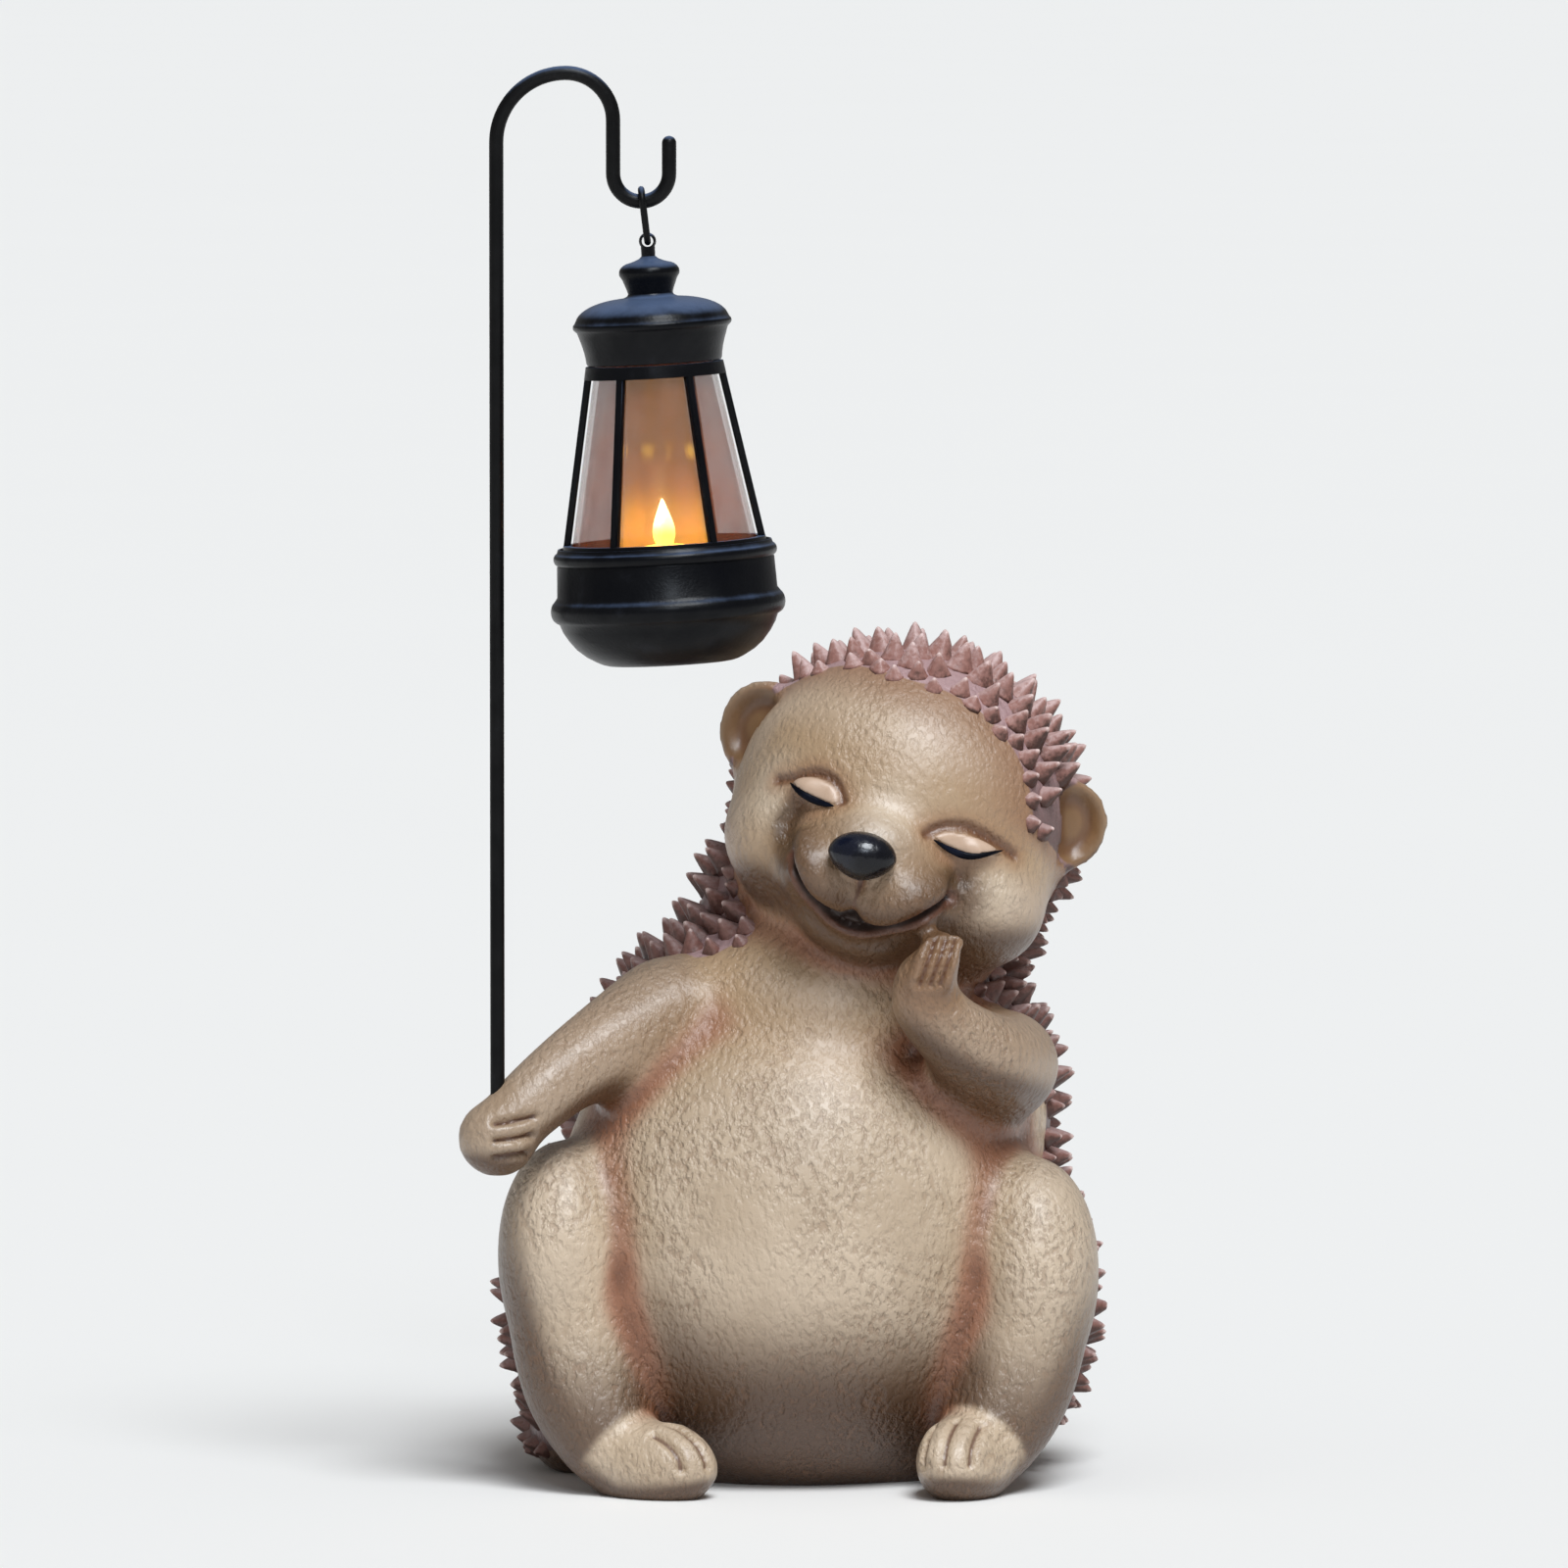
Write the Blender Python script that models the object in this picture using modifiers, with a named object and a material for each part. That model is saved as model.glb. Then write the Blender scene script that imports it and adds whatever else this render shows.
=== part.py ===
"""A seated hedgehog garden statue of cast resin that holds a wire crook with a hanging lantern.

Metres, +Z up. The figure faces -Y and stands on the plane z = 0, with the origin under its belly.
"""

import math

import bmesh
import bpy
from mathutils import Matrix, Vector
from mathutils.bvhtree import BVHTree

# Driving sizes

FIGURE_HEIGHT = 0.180
QUILL_PITCH = 0.0072
QUILL_LENGTH = 0.0056
CROOK_RISE = 0.1175
ROD_DIAMETER = 0.0030
ROD_SEAT_DEPTH = 0.0100
STEM_BEND = 0.0144
HOOK_BEND = 0.0098
HOOK_RADIUS = 0.0058
HOOK_TIP_LENGTH = 0.0078
HOOK_DROP = 0.0110
LINK_WIRE = 0.0014
LINK_LENGTH = 0.0110
LINK_LEAN = math.radians(7.0)
LANTERN_LEAN = math.radians(3.2)
LANTERN_HEIGHT = 0.0832
BASE_HEIGHT = 0.0246
BASE_RADIUS = 0.0245
BASE_FOOT_RADIUS = 0.0135
BASE_FLOOR_DROP = 0.0022
ROOF_HEIGHT = 0.0208
ROOF_RADIUS = 0.0165
COLLAR_RADIUS = 0.0139
EYE_RADIUS = 0.0018
CAGE_BARS = 6
CAGE_RING = 0.0026
BAR_WIDTH = 0.0017
BAR_DEPTH = 0.0016
PANE_WALL = 0.0012
FLAME_HEIGHT = 0.0115
FLAME_RADIUS = 0.0024
CLEARANCE = 0.0003

# The figure is laid out on a grid of 180 units, its own height.

GRID = FIGURE_HEIGHT / 180.0
BODY_VOXEL = 2.2 * GRID
LIMB_VOXEL = 1.6 * GRID
FACE_VOXEL = 1.3 * GRID
SKIN_TRIANGLES = 2500
HEAD_CENTRE = (21.7, -8.0, 139.4)
HEAD_ROLL = math.radians(17.0)
HEAD_YAW = math.radians(-8.0)
FIST = Vector((-62.6, -42.0, 74.6)) * GRID
HEAD = (
    Matrix.Translation(Vector(HEAD_CENTRE) * GRID)
    @ Matrix.Rotation(HEAD_ROLL, 4, "Y")
    @ Matrix.Rotation(HEAD_YAW, 4, "Z")
)


def clear_scene():
    for obj in list(bpy.data.objects):
        bpy.data.objects.remove(obj, do_unlink=True)


def collection(name):
    made = bpy.data.collections.new(name)
    bpy.context.scene.collection.children.link(made)
    return made


clear_scene()
STATUE = collection("hedgehog_statue")
CUTTERS = collection("cutters")


def material(name, colour, roughness, metallic=0.0, alpha=1.0):
    made = bpy.data.materials.new(name)
    made.use_nodes = True
    shader = made.node_tree.nodes["Principled BSDF"]
    shader.inputs["Base Color"].default_value = (*colour, 1.0)
    shader.inputs["Roughness"].default_value = roughness
    shader.inputs["Metallic"].default_value = metallic
    shader.inputs["Alpha"].default_value = alpha
    return made


PAINTED_RESIN = material("painted_resin", (0.60, 0.45, 0.32), 0.55)
BLACK_STEEL = material("black_steel", (0.012, 0.012, 0.014), 0.35, metallic=0.4)
BLACK_PLASTIC = material("black_plastic", (0.012, 0.013, 0.018), 0.32)
SMOKED_PANE = material("smoked_pane", (0.75, 0.55, 0.38), 0.08, alpha=0.35)
FLAME = material("flame_lens", (1.0, 0.62, 0.18), 0.3)


def placed(obj, finish=None, parent=None):
    """Puts a piece of the statue in its collection, with its material and parent."""
    STATUE.objects.link(obj)
    if finish:
        obj.data.materials.clear()
        obj.data.materials.append(finish)
    obj.parent = parent
    return obj


def cutter(obj):
    """Marks a cutter, which is no part of the statue."""
    CUTTERS.objects.link(obj)
    obj.hide_render = True
    obj.display_type = "WIRE"
    return obj


def mesh_from(name, bm):
    """An object from a bmesh, which is freed."""
    mesh = bpy.data.meshes.new(name)
    bm.to_mesh(mesh)
    bm.free()
    return bpy.data.objects.new(name, mesh)


def applied(obj):
    """Puts the object's evaluated mesh in place of its modifiers."""
    bpy.context.view_layer.update()
    graph = bpy.context.evaluated_depsgraph_get()
    mesh = bpy.data.meshes.new_from_object(obj.evaluated_get(graph))
    obj.modifiers.clear()
    obj.data = mesh
    return obj


def smooth(obj, angle=35):
    obj.data.shade_smooth()
    obj.data.set_sharp_from_angle(angle=math.radians(angle))
    return obj


def boolean(obj, other, operation):
    """Joins another object to this one, or cuts it out."""
    step = obj.modifiers.new(other.name, "BOOLEAN")
    step.operation = operation
    step.solver = "EXACT"
    step.object = other


def drop(obj):
    bpy.data.objects.remove(obj, do_unlink=True)


# Clay masses: the figure is built up from balls and rolls, then blended to one skin.


def add_ball(bm, centre, radii, turn=None, detail=4):
    """An ellipsoid at centre, with its radii along the axes of turn."""
    place = Matrix.Translation(Vector(centre)) @ (turn or Matrix.Identity(4))
    place = place @ Matrix.Diagonal((*radii, 1.0))
    bmesh.ops.create_icosphere(bm, subdivisions=detail, radius=1.0, matrix=place)


def between(points, share):
    """A point on the smooth curve through points, at a share of its length from 0 to 1."""
    spans = len(points) - 1
    at = min(int(share * spans), spans - 1)
    t = share * spans - at
    near = [points[max(0, min(spans, at + step))] for step in (-1, 0, 1, 2)]
    before, start, end, after = (Vector(p) for p in near)
    return 0.5 * (
        2 * start
        + (end - before) * t
        + (2 * before - 5 * start + 4 * end - after) * t * t
        + (3 * start - before - 3 * end + after) * t**3
    )


def add_roll(bm, stations, steps=16):
    """A tapered limb: balls in a close row along stations, each (x, y, z, radius)."""
    for step in range(steps + 1):
        station = between(stations, step / steps)
        add_ball(bm, station.xyz * GRID, [station.w * GRID] * 3, detail=3)


def add_head_ball(bm, centre, radii, detail=4, turn=None):
    """An ellipsoid in the tilted head's own axes: x to its left ear, y to its back, z to its crown."""
    place = HEAD @ Matrix.Translation(Vector(centre) * GRID) @ (turn or Matrix.Identity(4))
    add_ball(bm, (0, 0, 0), [r * GRID for r in radii], place, detail)


TRUNK = (
    ((0.0, -6.0, 51.0), (52.0, 48.0, 57.0)),
    ((0.5, 8.0, 36.0), (60.8, 48.0, 50.0)),
    ((4.0, 9.0, 76.0), (50.0, 42.0, 46.0)),
    ((6.0, -2.0, 96.0), (38.0, 34.0, 26.0)),
    ((13.5, 6.0, 116.0), (35.0, 27.0, 26.0)),
)
HEM_CENTRE = Vector((-4.0, 8.0, 7.5))
HEM_RADII = (45.0, 41.0)
HEM_BALL = 9.0
HEM_STEPS = 40


def add_trunk(bm):
    """The body: belly, seat, back, shoulders and nape, with the hem of the coat round its foot."""
    for centre, radii in TRUNK:
        add_ball(bm, Vector(centre) * GRID, Vector(radii) * GRID)
    for step in range(HEM_STEPS + 1):
        angle = math.radians(-10 + 205 * step / HEM_STEPS)
        round_foot = Vector((HEM_RADII[0] * math.cos(angle), HEM_RADII[1] * math.sin(angle), 0))
        add_ball(bm, (HEM_CENTRE + round_foot) * GRID, [HEM_BALL * GRID] * 3, detail=3)


def add_skull(bm):
    """The round head with its full cheeks."""
    add_head_ball(bm, (0, 0, 0.9), (36.5, 33.0, 34.5))
    add_head_ball(bm, (1, -4, -12), (31.5, 27.0, 23.0))
    add_head_ball(bm, (-17.6, -11.5, -10.2), (17.0, 18.0, 15.0))
    add_head_ball(bm, (19.5, -11.5, -11.5), (17.5, 18.0, 16.0))


def add_legs(bm):
    for side, rise in ((-1, 1.5), (1, -2.0)):
        thigh = Vector((side * 49.4, -27, 47 + rise))
        add_ball(bm, thigh * GRID, Vector((14.0, 20, 25)) * GRID)
        add_roll(bm, [(side * 48.5, -30, 44, 13.6), (side * 45.5, -34, 24, 13.4), (side * 40, -40, 10, 10)])


CROOK_ARM = ((-27, -18, 98, 13.5), (-45, -32, 89.5, 9.5), (-56, -40, 81.5, 8.3), (-60.5, -42, 77, 8.0))
CHEEK_ARM = ((43, -22, 88, 12.5), (40, -36, 90.5, 10.2), (32.5, -43, 96, 8.8), (25.2, -47, 104, 7.5), (26.4, -47.5, 109, 6.4))


def add_arms(bm):
    """The right arm, at -X, reaches down to the crook; the left one is bent up to the cheek."""
    add_roll(bm, CROOK_ARM)
    add_roll(bm, CHEEK_ARM)


EAR_PLACE = (33.8, -1.0, 8.6)
EAR_RADII = (9.4, 3.8, 10.4)
EAR_TURN = math.radians(16.0)


def ear_matrix(side):
    """The axes of an ear: x out along its width, y to its back."""
    place = Vector((side * EAR_PLACE[0], EAR_PLACE[1], EAR_PLACE[2])) * GRID
    return HEAD @ Matrix.Translation(place) @ Matrix.Rotation(side * EAR_TURN, 4, "Z")


def add_ears(bm):
    for side in (-1, 1):
        add_ball(bm, (0, 0, 0), Vector(EAR_RADII) * GRID, ear_matrix(side))


def add_muzzle(bm):
    """The snout, broad between the eyes, with two full upper lips and a chin."""
    add_head_ball(bm, (0, -20, -7), (16.5, 21.0, 12.5))
    for side in (-1, 1):
        add_head_ball(bm, (side * 8.3, -25.5, -13.5), (11.2, 16.0, 9.8))
    add_head_ball(bm, (0, -23.5, -22.0), (13.5, 10.5, 8.0))


NOSE_PLACE = (-0.6, -42.3, -7.6)
NOSE_RADII = (7.2, 5.2, 5.0)
LID_PLACE = (16.8, -25.0, 0.8)
LID_RADII = (6.6, 4.7, 3.5)


def add_nose(bm):
    add_head_ball(bm, NOSE_PLACE, NOSE_RADII)


def add_lids(bm):
    """Closed upper eyelids, each a low shell bulging over the eye."""
    for side in (-1, 1):
        add_head_ball(bm, (side * LID_PLACE[0], LID_PLACE[1], LID_PLACE[2]), LID_RADII)


PAW = ((26.3, -47.8, 108, 6.6), (28.2, -48.8, 112, 5.6), (30.2, -48.2, 114.6, 4.0))


def add_hands(bm):
    add_ball(bm, FIST, Vector((8.6, 9.0, 8.3)) * GRID)
    add_roll(bm, PAW, steps=8)


FOOT_RADII = (10.3, 16.5, 9.6)
FEET = (((-31.0, -44.0, 6.2), math.radians(50.0)), ((35.0, -43.5, 7.2), math.radians(-16.0)))


def foot_matrix(centre, turn):
    """The axes of a foot, whose toes point to its own -Y."""
    return Matrix.Translation(Vector(centre) * GRID) @ Matrix.Rotation(turn, 4, "Z")


def add_feet(bm):
    for centre, turn in FEET:
        add_ball(bm, (0, 0, 0), Vector(FOOT_RADII) * GRID, foot_matrix(centre, turn))


def blended(name, builders, voxel, rounds, onto=None):
    """One smooth skin over the masses that the builders add, and over an earlier skin."""
    bm = bmesh.new()
    if onto:
        bm.from_mesh(onto.data)
    for build in builders:
        build(bm)
    obj = mesh_from(name, bm)
    STATUE.objects.link(obj)
    remesh = obj.modifiers.new("blend", "REMESH")
    remesh.mode = "VOXEL"
    remesh.voxel_size = voxel
    smooth = obj.modifiers.new("ease", "SMOOTH")
    smooth.factor = 0.5
    smooth.iterations = rounds
    applied(obj)
    STATUE.objects.unlink(obj)
    return obj


# The coat of quills covers the back, the shoulders and the crown.

HAIRLINE_BACK = 3.0
HAIRLINE_FRONT = -18.6
SHOULDER_EDGE = -21.0
FLANK_EDGE = -1.0
HEM_TOP = 10.0


def eased(value):
    """0 below 0, 1 above 1 and a smooth step between."""
    value = max(0.0, min(1.0, value))
    return value * value * (3 - 2 * value)


def coat_reach(point):
    """How far a point lies behind the coat's front edge, in grid units; negative on bare skin."""
    here = point / GRID
    local = HEAD.inverted() @ point / GRID
    crown = eased((local.z - 4) / 20)
    head_edge = HAIRLINE_BACK + (HAIRLINE_FRONT - HAIRLINE_BACK) * crown
    shoulder_height = 98 if here.x < 10 else 88
    shoulder = eased((here.z - shoulder_height) / 9)
    body_edge = FLANK_EDGE + (SHOULDER_EDGE - FLANK_EDGE) * shoulder
    off_head = eased((local.length - 35) / 6)
    on_head = local.y - head_edge
    on_body = min(here.y - body_edge, here.z - HEM_TOP)
    return on_head + (on_body - on_head) * off_head


COAT_LIFT = 0.3 * GRID
COAT_SINK = 2.4 * GRID
SKIN_SINK = 1.8 * GRID
SHORTEST_QUILL = 0.45
FULL_QUILLS_FROM = 16.0


def surface_of(obj):
    bm = bmesh.new()
    bm.from_mesh(obj.data)
    tree = BVHTree.FromBMesh(bm)
    bm.free()
    return tree


def quill_coat(core):
    """The coat as a closed shape: a net of pyramids, one to a quill, which dives under bare skin."""
    obj = blended("coat", (add_trunk, add_skull), QUILL_PITCH, 2)
    bm = bmesh.new()
    bm.from_mesh(obj.data)
    drop(obj)
    for vert in bm.verts:
        on_core, normal, _, _ = core.find_nearest(vert.co)
        covered = coat_reach(on_core) > 0
        vert.co = on_core + normal * (COAT_LIFT if covered else -COAT_SINK)
    bm.normal_update()
    covered = [face for face in bm.faces if coat_reach(face.calc_center_median()) > 0]
    seats = [(face.calc_center_median(), face.normal.copy()) for face in covered]
    tips = bmesh.ops.poke(bm, faces=covered)["verts"]
    for tip, (seat, normal) in zip(tips, seats):
        share = SHORTEST_QUILL + (1 - SHORTEST_QUILL) * eased(coat_reach(seat) / FULL_QUILLS_FROM)
        tip.co = seat + normal * QUILL_LENGTH * share
    return mesh_from("coat", bm)


def sink_under_coat(skin, core):
    """Lets the skin down under the coat, where it follows the trunk and the skull."""
    for vert in skin.data.vertices:
        on_core, normal, _, distance = core.find_nearest(vert.co)
        near = 1 - eased((distance / GRID - 0.8) / 2.0)
        vert.co -= normal * SKIN_SINK * near * eased(coat_reach(on_core) / 3.0)


EAR_DISH_RADIUS = 7.6
EAR_DISH_DEPTH = 3.0


def dish_ears(skin):
    """Presses the front of each ear into a shallow cup."""
    for side in (-1, 1):
        axes = ear_matrix(side)
        back = axes.inverted()
        for vert in skin.data.vertices:
            local = back @ vert.co / GRID
            across = math.hypot(local.x, local.z) / EAR_DISH_RADIUS
            if across < 1 and -6 < local.y < 0.5:
                local.y += EAR_DISH_DEPTH * (1 - across**2) ** 2 * eased(0.5 - local.y)
                vert.co = axes @ (local * GRID)


def decimated(obj, triangles):
    now = sum(len(face.vertices) - 2 for face in obj.data.polygons)
    fewer = obj.modifiers.new("fewer", "DECIMATE")
    fewer.ratio = triangles / now


# Grooves are round wires laid on the skin and cut out of it.


def wire(name, paths, thickness, sides=0, closed=False):
    """A wire along each path of points, as one mesh with its ends closed: square, or round with sides."""
    curve = bpy.data.curves.new(name, "CURVE")
    curve.dimensions = "3D"
    curve.bevel_depth = thickness / 2
    curve.bevel_resolution = sides
    curve.use_fill_caps = True
    for path in paths:
        spline = curve.splines.new("POLY")
        spline.points.add(len(path) - 1)
        spline.use_cyclic_u = closed
        for point, place in zip(spline.points, path):
            point.co = (*place, 1.0)
    guide = bpy.data.objects.new(name, curve)
    STATUE.objects.link(guide)
    bpy.context.view_layer.update()
    graph = bpy.context.evaluated_depsgraph_get()
    mesh = bpy.data.meshes.new_from_object(guide.evaluated_get(graph))
    drop(guide)
    bm = bmesh.new()
    bm.from_mesh(mesh)
    bmesh.ops.remove_doubles(bm, verts=bm.verts, dist=0.00001)
    return mesh_from(name, bm)


def laid(tree, path, toward, steps):
    """Points on the skin that a smooth path meets when it is moved along a direction."""
    points = []
    for step in range(steps + 1):
        start = between(path, step / steps)
        hit = tree.ray_cast(start, toward)[0]
        if hit:
            points.append(hit)
    return points


MOUTH = ((-16.8, -11.0), (-13.6, -15.2), (-7.8, -20.6), (0.4, -22.6), (8.4, -20.6), (14.2, -16.2), (18.4, -11.0))
PHILTRUM = ((0.0, -12.0), (0.4, -22.4))
EYE_SLIT = ((-6.2, 0.0), (-2.6, -1.5), (2.2, -1.9), (6.2, 0.8))
FACE_FRONT = -70.0


def face_path(points, shift=(0.0, 0.0)):
    """Points (x, z) of the face, held in front of the head and placed in the world."""
    return [HEAD @ (Vector((x + shift[0], FACE_FRONT, z + shift[1])) * GRID) for x, z in points]


def face_grooves(tree):
    back = HEAD.to_3x3() @ Vector((0, 1, 0))
    mouth = [laid(tree, face_path(MOUTH), back, 12), laid(tree, face_path(PHILTRUM), back, 3)]
    slits = []
    for side in (-1, 1):
        mirrored = [(side * x, z) for x, z in EYE_SLIT]
        slits.append(laid(tree, face_path(mirrored, (side * LID_PLACE[0], 0)), back, 5))
    return [
        wire("mouth_groove", mouth[:1], 1.5 * GRID),
        wire("lip_groove", mouth[1:], 1.2 * GRID),
        wire("eye_slits", slits, 1.5 * GRID),
    ]


TOE_GAPS = (-5.0, -0.4, 4.2)


def toe_grooves(tree):
    paths = []
    for centre, turn in FEET:
        axes = foot_matrix(centre, turn)
        for gap in TOE_GAPS:
            path = []
            for angle in (24, 42, 60, 78):
                lean = math.radians(angle)
                out = Vector((gap * 1.25, -math.sin(lean) * 30, math.cos(lean) * 30)) * GRID
                target = axes @ (Vector((gap, -4, 0)) * GRID)
                start = axes @ out
                hit = tree.ray_cast(start, (target - start).normalized())[0]
                path.append(hit)
            paths.append(path)
    return wire("toe_grooves", paths, 1.5 * GRID)


def finger_grooves(tree):
    """Between the fingers that close on the crook, and between those laid on the cheek."""
    paths = []
    for height in (-3.6, 0.2, 4.0):
        path = []
        for angle in (-38, -12, 14, 40):
            turn = math.radians(angle)
            out = Vector((math.sin(turn) * 30, -math.cos(turn) * 30, height - angle * 0.03)) * GRID
            target = FIST + Vector((0, 0, height)) * GRID
            start = FIST + out
            path.append(tree.ray_cast(start, (target - start).normalized())[0])
        paths.append(path)
    for across in (-2.4, 1.6):
        path = [Vector((26.6 + across + rise * 0.32, -70, 108.5 + rise)) * GRID for rise in (0, 2.5, 5, 7.5)]
        paths.append([tree.ray_cast(start, Vector((0, 1, 0)))[0] for start in path])
    return wire("finger_grooves", paths, 1.2 * GRID)


def flat_cut():
    """A block below the ground plane."""
    bm = bmesh.new()
    place = Matrix.Translation((0, 0, -50 * GRID)) @ Matrix.Diagonal((260 * GRID, 260 * GRID, 100 * GRID, 1))
    bmesh.ops.create_cube(bm, size=1.0, matrix=place)
    return mesh_from("ground_cut", bm)


ROD_FOOT = FIST.z + 7.0 * GRID - ROD_SEAT_DEPTH


def rod_bore():
    """The blind bore in the fist that takes the foot of the crook."""
    radius = ROD_DIAMETER / 2 + CLEARANCE
    low = ROD_FOOT - CLEARANCE
    high = FIST.z + 20 * GRID
    place = Matrix.Translation((FIST.x, FIST.y, (low + high) / 2))
    bm = bmesh.new()
    bmesh.ops.create_cone(
        bm, cap_ends=True, segments=12, radius1=radius, radius2=radius, depth=high - low, matrix=place
    )
    return mesh_from("rod_bore", bm)


def hedgehog():
    core = blended("core", (add_trunk, add_skull), BODY_VOXEL, 16)
    trunk_skin = surface_of(core)
    body = blended("body", (add_trunk, add_skull, add_legs, add_arms), BODY_VOXEL, 16)
    limbed = blended("limbed", (add_ears, add_muzzle, add_hands, add_feet), LIMB_VOXEL, 6, onto=body)
    skin = blended("hedgehog", (add_nose, add_lids), FACE_VOXEL, 2, onto=limbed)
    dish_ears(skin)
    tree = surface_of(skin)
    sink_under_coat(skin, trunk_skin)
    for used in (core, body, limbed):
        drop(used)
    placed(skin, PAINTED_RESIN)
    decimated(skin, SKIN_TRIANGLES)
    boolean(skin, cutter(quill_coat(trunk_skin)), "UNION")
    cuts = [*face_grooves(tree), toe_grooves(tree), finger_grooves(tree), rod_bore(), flat_cut()]
    for cut in cuts:
        boolean(skin, cutter(cut), "DIFFERENCE")
    return smooth(applied(skin))


# The crook is one bent steel wire. Its foot stands in the fist, and its hook opens toward +X.


def arc(centre, radius, start, end, steps):
    """Points of an arc in the crook's plane, between two angles in degrees from +X toward +Z."""
    points = []
    for step in range(steps + 1):
        angle = math.radians(start + (end - start) * step / steps)
        points.append(centre + Vector((radius * math.cos(angle), 0, radius * math.sin(angle))))
    return points


CROOK_TOP = Vector((FIST.x + STEM_BEND, FIST.y, FIGURE_HEIGHT + CROOK_RISE - ROD_DIAMETER / 2))
HOOK_CENTRE = CROOK_TOP + Vector((HOOK_BEND + HOOK_RADIUS, 0, -HOOK_BEND - HOOK_DROP))


def crook_rod():
    path = [Vector((FIST.x, FIST.y, ROD_FOOT))]
    path += arc(CROOK_TOP - Vector((0, 0, STEM_BEND)), STEM_BEND, 180, 90, 7)
    path += arc(CROOK_TOP - Vector((0, 0, HOOK_BEND)), HOOK_BEND, 90, 0, 6)[1:]
    path += arc(HOOK_CENTRE, HOOK_RADIUS, -180, 0, 9)
    path.append(HOOK_CENTRE + Vector((HOOK_RADIUS, 0, HOOK_TIP_LENGTH)))
    return placed(smooth(wire("crook_rod", [path], ROD_DIAMETER, sides=2)), BLACK_STEEL)


# An oblong link rides in the hook, and the lantern's eye rides in the link.

LINK_HALF_WIDTH = (ROD_DIAMETER + LINK_WIRE) / 2 + 0.0005
LINK_TOP = HOOK_CENTRE + Vector((0, 0, -HOOK_RADIUS + (ROD_DIAMETER + LINK_WIRE) / 2 + CLEARANCE))
LINK_DOWN = Vector((math.sin(LINK_LEAN), 0, -math.cos(LINK_LEAN)))


def hanger_link():
    """A closed wire link across the crook's plane, leaning a little out of plumb."""
    straight = LINK_LENGTH / 2 - LINK_HALF_WIDTH
    middle = LINK_TOP + LINK_DOWN * LINK_LENGTH / 2
    path = []
    for end in (1, -1):
        for step in range(9):
            angle = math.pi * step / 8
            along = end * (straight + LINK_HALF_WIDTH * math.sin(angle))
            across = end * LINK_HALF_WIDTH * math.cos(angle)
            path.append(middle + LINK_DOWN * along + Vector((0, across, 0)))
    return placed(smooth(wire("hanger_link", [path], LINK_WIRE, sides=1, closed=True)), BLACK_STEEL)


# The lantern is built up from its own underside, and hangs a few degrees out of plumb.

TURNED_STEPS = 20
EYE_BORE = LINK_WIRE / 2 + CLEARANCE + 0.0002
EYE_HEIGHT = LANTERN_HEIGHT + 0.0043
FLOOR = BASE_HEIGHT - BASE_FLOOR_DROP
ROOF_FOOT = LANTERN_HEIGHT - ROOF_HEIGHT
CAGE_FOOT = FLOOR + CLEARANCE
CAGE_TOP = ROOF_FOOT - CLEARANCE
CAGE_FOOT_RADIUS = BASE_RADIUS - 0.0030
CAGE_TOP_RADIUS = COLLAR_RADIUS + 0.0004


def lantern_hanger():
    """An empty at the middle of the lantern's underside, which carries its pieces."""
    hanger = bpy.data.objects.new("lantern_hanger", None)
    STATUE.objects.link(hanger)
    lean = Matrix.Rotation(-LANTERN_LEAN, 4, "Y")
    eye = LINK_TOP + LINK_DOWN * (LINK_LENGTH - 0.0002)
    hanger.matrix_world = Matrix.Translation(eye) @ lean @ Matrix.Translation((0, 0, -EYE_HEIGHT))
    bpy.context.view_layer.update()
    return hanger


def turned(name, outline, steps=TURNED_STEPS, ring=False):
    """A solid turned about Z from an outline of (radius, height) that runs down its outer side."""
    bm = bmesh.new()
    verts = [bm.verts.new((radius, 0, height)) for radius, height in outline]
    if ring:
        verts.append(verts[0])
    for start, end in zip(verts, verts[1:]):
        bm.edges.new((start, end))
    obj = mesh_from(name, bm)
    STATUE.objects.link(obj)
    screw = obj.modifiers.new("turn", "SCREW")
    screw.steps = steps
    screw.render_steps = steps
    screw.use_merge_vertices = True
    screw.merge_threshold = 0.00001
    applied(obj)
    STATUE.objects.unlink(obj)
    return smooth(obj)


def bend(centre, radii, start, end, steps):
    """Outline points of an arc, from one angle to another in degrees above the horizontal."""
    points = []
    for step in range(steps + 1):
        angle = math.radians(start + (end - start) * step / steps)
        points.append((centre[0] + radii[0] * math.cos(angle), centre[1] + radii[1] * math.sin(angle)))
    return points


BAND_RADIUS = BASE_RADIUS - 0.0017
RIM_RADIUS = CAGE_FOOT_RADIUS + CLEARANCE


def lantern_base(hanger):
    """A bowl, a plain band between two beads, and a rim round a sunk floor."""
    outline = [(0, FLOOR), (RIM_RADIUS, FLOOR), (RIM_RADIUS, BASE_HEIGHT), (BAND_RADIUS - 0.0004, BASE_HEIGHT)]
    outline += bend((BAND_RADIUS - 0.0006, BASE_HEIGHT - 0.0021), (0.0011, 0.0013), 60, -60, 2)
    outline += [(BAND_RADIUS, 0.0140)]
    outline += bend((BAND_RADIUS, 0.0116), (BASE_RADIUS - BAND_RADIUS, 0.0023), 55, -55, 3)
    outline += [(BAND_RADIUS, 0.0092), (BAND_RADIUS - 0.0020, 0.0052), (BAND_RADIUS - 0.0052, 0.0019)]
    outline += [(BASE_FOOT_RADIUS + 0.0008, 0.0003), (BASE_FOOT_RADIUS, 0), (0, 0)]
    return placed(turned("lantern_base", outline, 24), BLACK_PLASTIC, hanger)


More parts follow.
